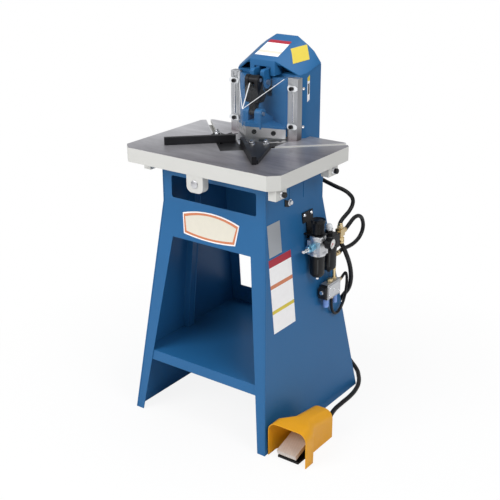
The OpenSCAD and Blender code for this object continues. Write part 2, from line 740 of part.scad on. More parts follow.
// The head's form, or its hollow when t is the wall: a nose with the roof, and the shoulders.
module head_form(t) {
  low = t > 0 ? -6 : 0;
  rear = column_back - t;
  edge = column_edge(column_back);
  wrap([for (x = [-1, 1], p = [[nose_half - t, nose_y + t, nose_low + low],
      [nose_half - 1.2 * t, nose_y + t, roof_front - t], [arch_half - t, rear, edge + low],
      [arch_half - t, rear, arch_z - 1.5 * t], [roof_back_half - t / 2, rear, roof_back - 1.5 * t]])
      [x * p[0], p[1], p[2]]]);
  wrap([for (x = [-1, 1], p = [[column_half - column_bevel_w - t, column_front + t, column_top + low],
      [column_half - t, column_front + column_bevel_d, column_edge(column_front + column_bevel_d)
      + low], [column_half - t, rear, edge + low], [column_half - 1.5 * t, rear, edge + 4 - t / 2],
      [bend_half - t, rear, bend_z - 1.5 * t], [arch_half - t, rear, arch_z - 1.5 * t],
      [nose_half - 1.2 * t, nose_y + t, roof_front - t]]) [x * p[0], p[1], p[2]]]);
}
module head_cover() color(blue) place() difference() {
  head_form(0);
  head_form(cover_t);
  side_profile([[0, -far], [column_front + cover_t, column_top - 1],
      [column_back, column_edge(column_back)], [column_back, 0]], -column_half - 1, column_half + 1);
  translate([-cheek_out - 4, nose_y - 2, table_top]) cube([2 * cheek_out + 8, cover_t + 8, 233]);
}
guard_top = column_top + 3;
module guard_panel() {
  reach = (strip_x + 4) * sqrt(2);
  right_side() translate([0, -v_corner - guard_gap, 0]) rotate(45) rotate([90, 0, 0])
      linear_extrude(guard_t) polygon([[-guard_t * 2, table_top + guard_z],
      [reach, table_top + guard_z], [reach, guard_top - 4], [-guard_t * 2, table_top + guard_h - 4]]);
}
module guard() difference() {
  union() {
    guard_panel();
    translate([strip_x + 4, strip_y - guard_t, table_top + guard_z])
        cube([strip_w - 8, guard_t, guard_top - table_top - guard_z]);
    wrap([for (p = [[0.2, -v_corner - guard_gap - guard_t, table_top + guard_h - 4],
        [0.2, front_y - 22, front_z - 12], [strip_x + 6, strip_y - guard_t, guard_top - 4]],
        q = [[0, 0], [guard_t, 0], [0, 4], [guard_t, 4]]) [p[0], p[1] + q[0], p[2] + q[1]]]);
  }
  translate([-cheek_out - 8, front_y - 19, table_top]) cube([2 * cheek_out + 16, 120, far]);
  for (z = [screw_low, screw_high]) translate([strip_mid, 0, z]) for (d = [-5, 5]) translate([0, 0, d])
      bar_y(8.6, 0, far);
  for (z = [screw_low, screw_high]) translate([strip_mid - 4.3, 0, z - 5]) cube([8.6, far, 10]);
}
module guard_right() color([0.8, 0.9, 0.95, 0.4]) place() guard();
module guard_left() color([0.8, 0.9, 0.95, 0.4]) place() mirror([1, 0, 0]) guard();

// ---------- cylinder ----------
tie_off = cap_w / 2 - 9;
module cylinder_barrel() color(steel) place() translate([0, rod_y, barrel_z]) difference() {
  cylinder(d = barrel_d, h = barrel_len);
  translate([0, 0, -1]) cylinder(d = bore_d, h = far);
}
module cap_block() difference() {
  translate([-cap_w / 2, -cap_w / 2, 0]) cube([cap_w, cap_w, cap_h]);
  for (x = [-1, 1], y = [-1, 1]) translate([x * tie_off, y * tie_off, -1])
      cylinder(d = tie_d + 0.4, h = far);
}
module cylinder_caps() color(dark) place() translate([0, rod_y, 0]) {
  translate([0, 0, barrel_z - cap_h]) cap_block();
  difference() {
    translate([0, 0, barrel_z + barrel_len]) cap_block();
    translate([0, 0, barrel_z]) cylinder(d = rod_d + 0.1, h = far);
  }
}
module tie_rods() color(steel) place() for (x = [-1, 1], y = [-1, 1])
    translate([x * tie_off, rod_y + y * tie_off, barrel_z - cap_h]) {
  cylinder(d = tie_d, h = 2 * cap_h + barrel_len);
  translate([0, 0, -6]) cylinder(d = 13, h = 6, $fn = 6);
}
piston_z = barrel_z + 2;
module piston() color(dark) place() translate([0, rod_y, piston_z]) difference() {
  cylinder(d = bore_d - 0.1, h = piston_t);
  translate([0, 0, -1]) cylinder(d = 12.1, h = far);
}
module piston_rod() color(steel) place() translate([0, rod_y, piston_z]) {
  cylinder(d = 12, h = piston_t);
  translate([0, 0, piston_t]) cylinder(d = rod_d, h = clevis_z - 40 - piston_z - piston_t);
}
module rod_clevis() color(dark) place() translate([0, rod_y, clevis_z]) difference() {
  union() {
    translate([-fork_out, -12, -40]) cube([2 * fork_out, 24, 40]);
    bar_x(24, -fork_out, fork_out);
  }
  translate([-cheek_in, -13, -22]) cube([2 * cheek_in, 26, far]);
  bar_x(pin_d + 0.04, -far, far);
}
module clevis_pin() color(steel) place() translate([0, rod_y, clevis_z])
    bar_x(pin_d, -fork_out - 3, fork_out + 3);

// ---------- fences ----------
fence_z = table_top + fence_lift;
module fence(u) slot_frame() translate([u, 0, fence_z]) difference() {
  union() {
    translate([0, -fence_len + 52, 0]) cube([fence_t, fence_len, fence_h]);
    linear_extrude(bracket_t) polygon([[fence_t - 1, -49], [bolt_1 + 14, -34], [bolt_2, -15],
        [bolt_2, 15], [bolt_1 + 14, 34], [fence_t - 1, 49]]);
    translate([bolt_2, 0, 0]) cylinder(r = 15, h = bracket_t);
  }
  for (b = [bolt_1, bolt_2]) translate([b, 0, -1]) cylinder(d = clamp_d + 0.5, h = far);
}
fence_tip = 52 - fence_len;
module fence_web() slot_frame() translate([fence_right_u, 0, fence_z]) difference() {
  linear_extrude(bracket_t) polygon([[fence_t - 1, fence_tip + 6], [fence_t + 6, fence_tip + 6],
      [bolt_2 + 15, -12], [bolt_2, 0], [fence_t - 1, 0]]);
  for (b = [bolt_1, bolt_2]) translate([b, 0, -1]) cylinder(d = clamp_d + 0.5, h = far);
}
module fence_right() color(dark) place() {
  fence(fence_right_u);
  fence_web();
}
module fence_left() color(dark) place() mirror([1, 0, 0]) fence(fence_left_u);
tee_top = table_top - die_t - 0.5;
nut_h = 8;
module fence_clamps(u) slot_frame() for (b = [bolt_1, bolt_2]) translate([u + b, 0, 0]) {
  translate([-12, -slot_tee_w / 2 + 1, tee_top - slot_tee_h + 1.5])
      cube([24, slot_tee_w - 2, slot_tee_h - 1.5]);
  translate([0, 0, tee_top - eps]) cylinder(d = clamp_d, h = fence_z + bracket_t + nut_h + 6 - tee_top);
  translate([0, 0, fence_z + bracket_t]) difference() {
    union() {
      cylinder(d = 20, h = 2);
      translate([0, 0, 2 - eps]) cylinder(d = 18, h = nut_h - 2, $fn = 6);
    }
    translate([0, 0, -1]) cylinder(d = clamp_d + 0.2, h = far);
  }
}
module fence_right_clamps() color(steel) place() fence_clamps(fence_right_u);
module fence_left_clamps() color(steel) place() mirror([1, 0, 0]) fence_clamps(fence_left_u);

// ---------- air unit ----------
body_low = unit_z - 33;
body_top = unit_z + 33;
lube_y = unit_y + unit_pitch;
tee_y = lube_y + 67;
valve_z = body_low - 185;
valve_y = lube_y + 12;
coil_w = 46;
coil_split = 38;                                  // from the valve's middle to its coil
unit_x = stand_half(valve_z) + valve_gap + valve_w / 2;
bracket_z = body_top + 37;
module on_wall(y, z) translate([stand_half(z), y, z]) rotate([0, -wall_tilt, 0]) children();
module air_bracket() color(dark) place() difference() {
  union() {
    on_wall(unit_y, bracket_z) side_profile([[-25, 0], [-3, 0], [-3, body_top - 20 - bracket_z],
        [37, body_top - 20 - bracket_z], [37, 35], [-25, 35]], 0, 4);
    translate([stand_half(body_top) + 1, unit_y - 22, body_top])
        cube([unit_x - stand_half(body_top) + 22, 44, 4]);
  }
  translate([unit_x, unit_y, body_top - 1]) cylinder(d = 30.4, h = 12);
}
module regulator_body() color(steel) place() difference() {
  union() {
    translate([unit_x - 25, unit_y - 25, body_low]) cube([50, 50, 50]);
    translate([unit_x, unit_y, body_low]) cylinder(d = 52, h = body_top - body_low);
    translate([unit_x, unit_y, body_top - 1]) cylinder(d = 30, h = 9);
  }
  translate([unit_x, unit_y - 40, unit_z]) bar_y(14, 0, 30);
}
module regulator_knob() color(dark) place() translate([unit_x, unit_y, body_top + 4.4]) difference() {
  cylinder(d = knob_d, h = knob_h);
  translate([0, 0, -1]) cylinder(d = 30.2, h = 12);
}
gauge_x = unit_x + 26;
gauge_z = unit_z + 14;
module gauge_body() color(dark) place() translate([gauge_x, unit_y, gauge_z]) difference() {
  union() {
    bar_x(12, 0, 10 + eps);
    translate([10, 0, 0]) bar_x(gauge_d, 0, gauge_depth);
  }
  translate([10, 0, 0]) bar_x(gauge_d - 5, gauge_depth - 4, gauge_depth + 1);
}
module gauge_needle() color([0.8, 0.1, 0.05]) place()
    translate([gauge_x + 10 + gauge_depth - 3.5, unit_y, gauge_z]) rotate([135, 0, 0]) {
  bar_x(4, 0, 1.6);
  translate([0.5, -0.6, -4]) cube([0.7, 1.2, 16]);
}
module bowl(y) translate([unit_x, y, body_low]) {
  translate([0, 0, -bowl_len + 8]) cylinder(d = bowl_d, h = bowl_len - 8);
  translate([0, 0, -bowl_len]) cylinder(d1 = bowl_d - 14, d2 = bowl_d, h = 8 + eps);
  translate([0, 0, -bowl_len - 9]) cylinder(d = 11, h = 9 + eps);
}
module filter_bowl() color(dark) place() bowl(unit_y);
module lubricator() color(dark) place() {
  bowl(lube_y);
  translate([unit_x - 25, lube_y - 25, body_low]) cube([50, 50, 48]);
  translate([unit_x, lube_y - 6, body_low + 47]) cylinder(d = 25, h = 18);
  translate([unit_x, lube_y - 6, body_low + 65]) cylinder(d = 18, h = 6);
  translate([unit_x, unit_y + 26, unit_z]) bar_y(24, 0, unit_pitch - 50);
}
module inlet_plug() color([0.35, 0.62, 0.78]) place() translate([unit_x, unit_y, unit_z]) {
  bar_y(13.8, -38, -12);
  bar_y(24, -44, -26.2);
  bar_y(16, -62, -43);
  bar_y(11, -88, -61);
}
module brass_fittings() color(brass) place() {
  translate([unit_x, 0, unit_z]) bar_y(14, lube_y + 25, tee_y - 12);
  translate([unit_x - 11, tee_y - 13, unit_z - 13]) cube([22, 28, 26]);
  translate([unit_x, tee_y, unit_z]) cylinder(d = 15, h = 24);
  translate([unit_x, 0, unit_z]) bar_y(15, tee_y, tee_y + 26);
  translate([unit_x + 3, tee_y + 6, unit_z - 30]) cylinder(d = 13, h = 30);
  translate([unit_x, valve_y + 24, valve_z + valve_h])
      cylinder(d = 11, h = unit_z - valve_z - valve_h - 10);
  translate([unit_x, 0, unit_z]) bar_y(11, valve_y + 24, tee_y);
  translate([unit_x, valve_y - 4, valve_z + valve_h]) cylinder(d = 16, h = 12);
  translate([unit_x, 0, body_low - 40]) bar_y(12, valve_y + 24, valve_y + 44);
  translate([unit_x, 0, valve_z + 42]) bar_y(12, valve_y + coil_w, valve_y + coil_w + 14);
}
module air_valve() color([0.45, 0.46, 0.48]) place() {
  translate([unit_x - valve_w / 2, valve_y - coil_split, valve_z])
      cube([valve_w, coil_w + coil_split, valve_h]);
  translate([unit_x - valve_w / 2, valve_y - coil_w - 8, valve_z + 8])
      cube([valve_w, coil_w + 8 - coil_split + eps, valve_h - 16]);
}
module mufflers() color([0.55, 0.68, 0.85]) place() {
  translate([unit_x, valve_y - 26, valve_z - 30]) cylinder(d = 20, h = 30);
  translate([unit_x, valve_y + 34, valve_z - 34]) cylinder(d = 15, h = 34);
}

// ---------- pedal ----------
module pedal_frame() translate([pedal_x, -pedal_y, 0]) children();
corner_r = 30;
module hood_slice(y, half, h, inset) translate([0, y, 0]) rotate([90, 0, 0]) linear_extrude(eps) {
  r = corner_r - inset;
  translate([-half + inset, -1]) square([2 * (half - inset), h - corner_r + 1]);
  for (x = [-1, 1]) translate([x * (half - corner_r), h - corner_r]) circle(r = r, $fn = 32);
  translate([-half + corner_r, 0]) square([2 * (half - corner_r), h - inset]);
}
waist_l = 96;
waist_y = waist_l - pedal_len;
lip_y = -pedal_len + 44;
module hood(inset) {
  grow = inset > 0 ? 1 : 0;
  hull() {
    hood_slice(grow, pedal_w / 2, pedal_h, inset);
    hood_slice(waist_y, pedal_w / 2, mouth_h - 6, inset);
  }
  hull() {
    hood_slice(waist_y, pedal_w / 2, mouth_h - 6, inset);
    hood_slice(lip_y, mouth_w / 2, mouth_h, inset);
  }
  hull() {
    hood_slice(lip_y, mouth_w / 2, mouth_h, inset);
    hood_slice(-pedal_len - grow, mouth_w / 2, mouth_h, inset);
  }
}
module pedal_guard() color(yellow) place() pedal_frame() intersection() {
  difference() {
    hood(0);
    hood(pedal_sheet);
  }
  translate([-far, -far, 0]) cube([2 * far, 2 * far, far]);
}
base_t = 8;
treadle_y = -pedal_len + 110;
treadle_z = 50;
treadle_tilt = 16;
base_half = pedal_w / 2 - pedal_sheet - 0.2;
gland_l = 16;
module pedal_base() color(dark) place() pedal_frame() difference() {
  union() {
    translate([0, 0, 26]) bar_y(18, -gland_l, 0);
    translate([-base_half, -pedal_len + 8, 0]) cube([2 * base_half, pedal_len - 10, base_t]);
    translate([-24, treadle_y + 18, 0]) cube([48, -gland_l + 1 - treadle_y - 18, 58]);
    both() translate([treadle_w / 2 - 12, treadle_y - 10, 0]) cube([6, 34, treadle_z + 6]);
  }
  translate([0, treadle_y, treadle_z]) bar_x(8.04, -far, far);
}
treadle_t = 6;
module pedal_treadle() color(steel) place() pedal_frame() translate([0, treadle_y, treadle_z])
    difference() {
  union() {
    rotate([treadle_tilt, 0, 0]) difference() {
      translate([-treadle_w / 2, -treadle_len, 0]) cube([treadle_w, treadle_len + 8, 10 + treadle_t]);
      translate([-treadle_w / 2 + 5, -treadle_len + 4, -1]) cube([treadle_w - 10, treadle_len + 8, 11]);
    }
    both() bar_x(18, treadle_w / 2 - 4.8, treadle_w / 2 - 0.2);
  }
  bar_x(8 + 2 * pin_clear, -far, far);
}
module pedal_pin() color(steel) place() pedal_frame() translate([0, treadle_y, treadle_z])
    bar_x(8, -treadle_w / 2 - 2, treadle_w / 2 + 2);

// ---------- hoses ----------
cylinder_port = barrel_z + barrel_len + cap_h / 2;
valve_port = valve_z + 42;
bowl_port = body_low - 40;
cylinder_route = [[unit_x, tee_y, unit_z + 24], [unit_x, tee_y, unit_z + 32], [257, 196, 674],
    [257, 222, 684], [257, 246, 694], [258, 262, 711], [256, 265, 729], [248, 256, 747],
    [232, 248, 760], [206, 240, 770], [178, 240, 777], [150, 244, 783], [120, 241, 799],
    [96, 226, 830], [78, 208, 862], [cap_w / 2 + 21, rod_y, cylinder_port],
    [cap_w / 2, rod_y, cylinder_port]];
loop_route = [[unit_x, tee_y + 26, unit_z], [unit_x, tee_y + 34, unit_z], [257, 248, 645],
    [257, 266, 653], [257, 286, 658], [257, 317, 652], [256, 340, 630], [256, 345, 600],
    [255, 330, 576], [254, 300, 562], [252, 264, 557], [250, 232, 558], [252, 206, 560],
    [unit_x, valve_y + 54, bowl_port], [unit_x, valve_y + 44, bowl_port]];
valve_route = [[unit_x, valve_y + 11, valve_z], [unit_x, valve_y + 11, 392], [257, 146, 362],
    [256, 164, 338], [255, 192, 332], [254, 206, 337], [254, 218, 346], [254, 236, 372],
    [254, 245, 404], [254, 248, 434], [254, 244, 456], [255, 234, 466], [256, 221, 464],
    [unit_x, valve_y + coil_w + 26, valve_port], [unit_x, valve_y + coil_w + 14, valve_port]];
pedal_route = [[unit_x + 3, tee_y + 6, unit_z - 30], [unit_x + 3, tee_y + 6, 592], [268, 197, 571],
    [272, 208, 546], [272, 228, 511], [270, 246, 468], [264, 258, 430], [252, 266, 396],
    [230, 272, 362], [204, 280, 326], [178, 292, 286], [162, 305, 240], [158, 324, 190],
    [165, 350, 130], [180, 380, 72], [202, 396, 30], [230, 388, 11], [260, 352, 8.5], [287, 306, 8.5],
    [304, 256, 8.5], [312, 200, 8.5], [313, 140, 8.5], [316, 84, 8.5], [330, 30, 9], [344, -8, 15],
    [352, -34, 24], [pedal_x, -pedal_y + 14, 26], [pedal_x, -pedal_y, 26]];
// The tube around a route, one ring of corners at each of its points.
function unit(v) = v / norm(v);
function tube_ring(p, i, r, sides) = let (n = len(p) - 1,
    t = unit(p[min(i + 1, n)] - p[max(i - 1, 0)]),
    side = unit(cross(t, abs(t[0]) < 0.8 ? [1, 0, 0] : [0, 1, 0])), up = cross(side, t))
    [for (k = [0:sides - 1]) p[i] + r * (cos(360 * k / sides) * side + sin(360 * k / sides) * up)];
module tube(p, d) {
  sides = 8;
  n = len(p);
  points = [for (i = [0:n - 1]) each tube_ring(p, i, d / 2, sides)];
  faces = concat([[for (k = [0:sides - 1]) k]], [[for (k = [sides - 1:-1:0]) (n - 1) * sides + k]],
      [for (i = [0:n - 2], k = [0:sides - 1]) [i * sides + k, (i + 1) * sides + k, (i + 1)
      * sides + (k + 1) % sides]], [for (i = [0:n - 2], k = [0:sides - 1])
      [i * sides + k, (i + 1) * sides + (k + 1) % sides, i * sides + (k + 1) % sides]]);
  polyhedron(points, faces, convexity = 10);
}
module hose_cylinder() color(rubber) place() tube(cylinder_route, hose_d);
module hose_loop() color(rubber) place() tube(loop_route, hose_d);
module hose_valve() color(rubber) place() tube(valve_route, valve_hose_d);
module hose_pedal() color(rubber) place() tube(pedal_route, pedal_hose_d);

stand_side_left();
stand_side_right();
stand_front();
stand_rear();
stand_shelf();
stand_top_plate();
table();
die_plate();
lower_blade_left();
lower_blade_right();
lower_blade_screws();
lug_screws();
column();
lever_bracket();
lever_pivot_pin();
lever();
link();
link_pins();
ram();
upper_blade_left();
upper_blade_right();
upper_blade_screws();
guide_strip_left();
guide_strip_right();
strip_screws();
column_side_screws();
head_cover();
guard_left();
guard_right();
guard_washers();
cylinder_barrel();
cylinder_caps();
tie_rods();
piston();
piston_rod();
rod_clevis();
clevis_pin();
fence_left();
fence_right();
fence_left_clamps();
fence_right_clamps();
air_bracket();
regulator_body();
regulator_knob();
gauge_body();
gauge_needle();
filter_bowl();
lubricator();
inlet_plug();
brass_fittings();
air_valve();
mufflers();
pedal_base();
pedal_guard();
pedal_treadle();
pedal_pin();
hose_cylinder();
hose_loop();
hose_valve();
hose_pedal();
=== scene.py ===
import json
import math
import bpy
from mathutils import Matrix, Quaternion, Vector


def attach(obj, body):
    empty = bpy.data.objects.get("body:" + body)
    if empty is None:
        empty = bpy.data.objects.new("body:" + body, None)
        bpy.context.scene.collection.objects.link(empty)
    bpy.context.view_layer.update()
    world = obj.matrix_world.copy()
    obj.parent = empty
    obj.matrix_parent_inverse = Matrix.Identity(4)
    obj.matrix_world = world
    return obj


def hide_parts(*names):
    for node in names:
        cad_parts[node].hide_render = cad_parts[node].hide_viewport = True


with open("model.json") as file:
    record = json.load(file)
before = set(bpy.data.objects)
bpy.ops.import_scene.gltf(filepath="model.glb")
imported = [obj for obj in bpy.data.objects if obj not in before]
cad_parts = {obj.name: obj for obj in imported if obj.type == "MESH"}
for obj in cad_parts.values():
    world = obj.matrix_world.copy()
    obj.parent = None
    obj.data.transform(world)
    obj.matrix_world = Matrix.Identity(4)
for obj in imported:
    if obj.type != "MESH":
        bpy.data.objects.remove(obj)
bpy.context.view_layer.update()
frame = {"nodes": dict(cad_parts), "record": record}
cadNodes = frame["nodes"]
scene = bpy.context.scene
scene.view_settings.view_transform = "Standard"
bodyOf = {node: name for name, held in frame["record"]["behaviour"]["bodies"].items() for node in held}

# places and sizes below are machine millimetres: X to the right, Y to the rear, Z up
origin = (61, 9, 0)  # where the frame's own origin lies
right, rear, up = (1, 0, 0), (0, 1, 0), (0, 0, 1)
front, down = (0, -1, 0), (0, 0, -1)


def at(x, y, z):  # machine millimetres to the frame's metres
    return Vector(((x - origin[0]) / 1000, (y - origin[1]) / 1000, (z - origin[2]) / 1000))


def spotOf(point):  # the frame's metres back to machine millimetres
    return Vector([v * 1000 + shift for v, shift in zip(point, origin)])


def deselect():
    if bpy.context.object and bpy.context.object.mode != "OBJECT":
        bpy.ops.object.mode_set(mode="OBJECT")
    bpy.ops.object.select_all(action="DESELECT")


cameraSetup = {  # angles in degrees, distance in metres
    "target": (13.58, 0, 571.14), "azimuth": 35.83, "elevation": 21.54, "roll": -0.18, "distance": 3.36465,
    "lens": 71.03, "sensor": 36, "reach": 40,
}


def makeCamera(p):
    a, e = math.radians(p["azimuth"]), math.radians(p["elevation"])
    back = Vector((math.sin(a) * math.cos(e), -math.cos(a) * math.cos(e), math.sin(e)))
    data = bpy.data.cameras.new("studioCamera")
    cam = bpy.data.objects.new("studioCamera", data)
    scene.collection.objects.link(cam)
    cam.location = at(*p["target"]) + back * p["distance"]
    roll = Quaternion((0, 0, 1), math.radians(p["roll"]))  # round the camera's own line of sight
    cam.rotation_mode = "QUATERNION"
    cam.rotation_quaternion = back.to_track_quat("Z", "Y") @ roll
    data.lens = p["lens"]
    data.sensor_width = p["sensor"]
    data.clip_end = p["reach"]
    scene.camera = cam


makeCamera(cameraSetup)
print("camera placed")


class Wire:  # a socket that takes part in shader sums
    def __init__(self, nodes, socket):
        self.nodes, self.socket = nodes, socket

    def __add__(self, other):
        return self.nodes.maths("ADD", self, other)

    def __radd__(self, other):
        return self.nodes.maths("ADD", other, self)

    def __sub__(self, other):
        return self.nodes.maths("SUBTRACT", self, other)

    def __rsub__(self, other):
        return self.nodes.maths("SUBTRACT", other, self)

    def __mul__(self, other):
        return self.nodes.maths("MULTIPLY", self, other)

    def __rmul__(self, other):
        return self.nodes.maths("MULTIPLY", other, self)

    def __pow__(self, other):
        return self.nodes.maths("POWER", self, other)

    def __rpow__(self, other):
        return self.nodes.maths("POWER", other, self)

    def __gt__(self, other):
        return self.nodes.maths("GREATER_THAN", self, other)

    def __lt__(self, other):
        return self.nodes.maths("LESS_THAN", self, other)

    def __abs__(self):
        return self.nodes.maths("ABSOLUTE", self)

    def clamp(self):
        return self.nodes.maths("ADD", self, 0.0, True)


class Nodes:  # adds to one node tree
    def __init__(self, tree):
        self.tree = tree

    def feed(self, socket, value):
        if isinstance(value, Wire):
            self.tree.links.new(value.socket, socket)
        else:
            socket.default_value = value

    def node(self, kind, settings=None, inputs=None, out=0):
        made = self.tree.nodes.new(kind)
        for key, value in (settings or {}).items():
            setattr(made, key, value)
        for key, value in (inputs or {}).items():
            self.feed(made.inputs[key], value)
        return Wire(self, made.outputs[out]) if made.outputs else None

    def maths(self, operation, a, b=0.0, clamp=False):
        return self.node("ShaderNodeMath", {"operation": operation, "use_clamp": clamp}, {0: a, 1: b})

    def axes(self):
        split = self.node("ShaderNodeSeparateXYZ", {}, {0: self.place()})
        return [Wire(self, out) for out in split.socket.node.outputs]

    def place(self):
        return self.node("ShaderNodeTexCoord", out="Object")


class Paint(Nodes):  # one material, with its fixed sockets by name
    def __init__(self, name, fixed=None):
        self.material = bpy.data.materials.new(name)
        self.material.use_nodes = True
        super().__init__(self.material.node_tree)
        self.shader = self.tree.nodes["Principled BSDF"]
        for socket, value in (fixed or {}).items():
            self.set(socket, value)

    def set(self, socket, value):
        self.feed(self.shader.inputs[socket], value)

    def stretched(self, x, y, z):
        return self.node("ShaderNodeVectorMath", {"operation": "MULTIPLY"}, {0: self.place(), 1: (x, y, z)})

    def noise(self, scale, detail=3.0, rough=0.5, vector=None):
        inputs = {"Vector": vector or self.place(), "Scale": scale, "Detail": detail, "Roughness": rough}
        return self.node("ShaderNodeTexNoise", {}, inputs)

    def mix(self, factor, a, b):  # a colour mix has its own sockets, 6 and 7, and its result is 2
        return self.node("ShaderNodeMix", {"data_type": "RGBA"}, {0: factor, 6: a, 7: b}, 2)

    def bump(self, height, strength, distance):
        inputs = {"Strength": strength, "Distance": distance, "Height": height}
        self.set("Normal", self.node("ShaderNodeBump", {}, inputs))


def scaled(colour, k):
    return (*[min(1, v * k) for v in colour], 1.0)


def enamel(name, colour, rough=0.4, coat=0.06):  # gloss paint with a little orange peel
    fixed = {"Metallic": 0.0, "Coat Weight": coat, "Coat Roughness": 0.18, "Specular IOR Level": 0.25}
    p = Paint(name, fixed)
    broad = p.noise(3.0, 2.0)
    peel = p.noise(420.0, 2.0)
    dust = p.noise(38.0, 5.0, 0.62)
    p.set("Base Color", p.mix(broad * 0.7 + dust * 0.3, scaled(colour, 0.9), scaled(colour, 1.1)))
    p.set("Roughness", broad * 0.08 + dust * 0.05 + (rough - 0.06))
    p.bump(peel + broad * 0.3, 0.08, 0.0004)
    return p.material


def ground(name, colour, rough=0.3, along=(40, 1200, 1200), contrast=0.12):  # ground steel with fine streaks
    p = Paint(name, {"Metallic": 1.0})
    streak = p.noise(1.0, 3.0, 0.6, p.stretched(*along))
    broad = p.noise(9.0)
    dark, light = scaled(colour, 1 - contrast), scaled(colour, 1 + contrast)
    p.set("Base Color", p.mix(streak * 0.6 + broad * 0.4, dark, light))
    p.set("Roughness", streak * 0.18 + (rough - 0.06))
    p.bump(streak, 0.08, 0.0002)
    return p.material


def blackened(name, colour, rough=0.42):  # oiled black oxide or a plain casting
    p = Paint(name, {"Metallic": 0.6})
    broad = p.noise(14.0, 4.0)
    p.set("Base Color", p.mix(broad, scaled(colour, 0.75), scaled(colour, 1.5)))
    p.set("Roughness", broad * 0.14 + (rough - 0.05))
    p.bump(p.noise(700.0), 0.12, 0.0003)
    return p.material


def moulded(name, colour, rough=0.38):  # plastic or rubber from a mould
    p = Paint(name, {"Metallic": 0.0, "Specular IOR Level": 0.3})
    broad = p.noise(20.0, 2.0)
    p.set("Base Color", p.mix(broad, scaled(colour, 0.88), scaled(colour, 1.14)))
    p.set("Roughness", broad * 0.1 + (rough - 0.05))
    p.bump(p.noise(1500.0, 2.0), 0.1, 0.0001)
    return p.material


def printed(name, colour, rough=0.42):  # a film print or a painted plate, faintly rubbed
    p = Paint(name, {"Metallic": 0.0})
    rub = p.noise(55.0, 5.0, 0.65)
    p.set("Base Color", p.mix(rub, scaled(colour, 0.93), scaled(colour, 1.04)))
    p.set("Roughness", rub * 0.16 + (rough - 0.08))
    p.bump(p.noise(900.0, 2.0), 0.06, 0.0001)
    return p.material


finishes = {
    "blueEnamel": enamel("blueEnamel", (0.017, 0.116, 0.285)),
    "yellowEnamel": enamel("yellowEnamel", (0.74, 0.34, 0.010), 0.42, 0.03),
    "bladeSteel": ground("bladeSteel", (0.66, 0.66, 0.66)),
    "plainSteel": ground("plainSteel", (0.60, 0.60, 0.62), 0.32, (300, 300, 300)),
    "brightSteel": ground("brightSteel", (0.82, 0.83, 0.85), 0.2, (900, 900, 40), 0.05),
    "tubeAlloy": ground("tubeAlloy", (0.66, 0.67, 0.69), 0.34, (900, 900, 30)),
    "castAlloy": ground("castAlloy", (0.72, 0.73, 0.75), 0.42, (400, 400, 400)),
    "blackCasting": blackened("blackCasting", (0.012, 0.012, 0.014)),
    "blackScrew": blackened("blackScrew", (0.016, 0.016, 0.017), 0.35),
    "blackPlastic": moulded("blackPlastic", (0.006, 0.006, 0.007)),
    "turnedBrass": ground("turnedBrass", (0.76, 0.60, 0.34), 0.28, (300, 300, 900)),
    "platedBlue": ground("platedBlue", (0.20, 0.48, 0.68), 0.28, (700, 100, 700)),
    "mufflerPlastic": moulded("mufflerPlastic", (0.20, 0.34, 0.72), 0.5),
    "redPlastic": moulded("redPlastic", (0.55, 0.03, 0.02), 0.4),
    "hoseRubber": moulded("hoseRubber", (0.005, 0.005, 0.006), 0.42),
    "whitePrint": printed("whitePrint", (0.90, 0.89, 0.89)),
    "creamPrint": printed("creamPrint", (0.72, 0.68, 0.58)),
    "redPrint": printed("redPrint", (0.38, 0.010, 0.030)),
    "orangePrint": printed("orangePrint", (0.60, 0.20, 0.09)),
    "yellowPrint": printed("yellowPrint", (0.66, 0.52, 0.045)),
    "silverPrint": ground("silverPrint", (0.52, 0.54, 0.57), 0.42, (600, 600, 30), 0.06),
    "darkPrint": printed("darkPrint", (0.03, 0.032, 0.035)),
    "whitePlastic": moulded("whitePlastic", (0.78, 0.80, 0.82), 0.3),
}

tableLook = {  # the slot's arms meet at slotPoint; its painted edge highlight lies between two distances, in metres; the top has a painted reflection, dim at the front and bright toward the rear left
    "topHeight": 949.4, "slotPoint": (0, -122), "slotEdge": (0.0078, 0.0114), "topMetal": 0.7,
    "side": ((0.53, 0.525, 0.50, 1), (0.61, 0.61, 0.585, 1)),
    "dull": ((0.09, 0.085, 0.10, 1), (0.34, 0.33, 0.36, 1)),
    "bright": ((0.58, 0.58, 0.60, 1), (0.95, 0.94, 0.97, 1)), "edge": (0.80, 0.80, 0.82, 1),
}


def tableFinish(look):  # off-white enamel sides, ground grey top with a painted reflection lighter toward the rear left and painted highlights along the slot edges
    p = Paint("tableEnamel")
    x, y, z = p.axes()
    point = at(*look["slotPoint"], look["topHeight"])
    top = z > point.z
    broad = p.noise(5.0, 4.0)
    streak = p.noise(1.0, 3.0, 0.6, p.stretched(60, 900, 900))
    cloud = p.noise(1.0, 4.0, 0.65, p.stretched(7, 26, 10))
    reflectionTowardRear = ((y + 0.26) * 1.6 - x * 1.5 - 0.06).clamp()
    fromSlot = abs(abs(x - point.x) - (y - point.y)) * math.sqrt(0.5)
    slotEdge = (fromSlot < look["slotEdge"][1]) * (fromSlot > look["slotEdge"][0])
    mottle = ((cloud * 0.65 + streak * 0.35 - 0.5) * 1.8 + 0.5).clamp()
    # painted reflection: the mottled top steel goes from dim at the front to bright toward the rear left
    steel = p.mix(reflectionTowardRear, p.mix(mottle, *look["dull"]), p.mix(mottle, *look["bright"]))
    # painted highlight colour on the bands along the slot edges
    worn = p.mix(slotEdge, steel, look["edge"])
    p.set("Base Color", p.mix(top, p.mix(broad, *look["side"]), worn))
    p.set("Metallic", top * look["topMetal"])
    p.set("Roughness", 0.40 + top * (streak * 0.12 - 0.06))
    p.bump(p.noise(300.0) * (1 - top) + streak * top * 0.4, 0.08, 0.0004)
    return p.material


guideLook = {  # the strips darken toward the table, fading out upward
    "darkTop": 998, "darkFade": 22, "oil": (0.17, 0.15, 0.16, 1),
    "steel": ((0.35, 0.36, 0.37, 1), (0.65, 0.66, 0.69, 1)),
}


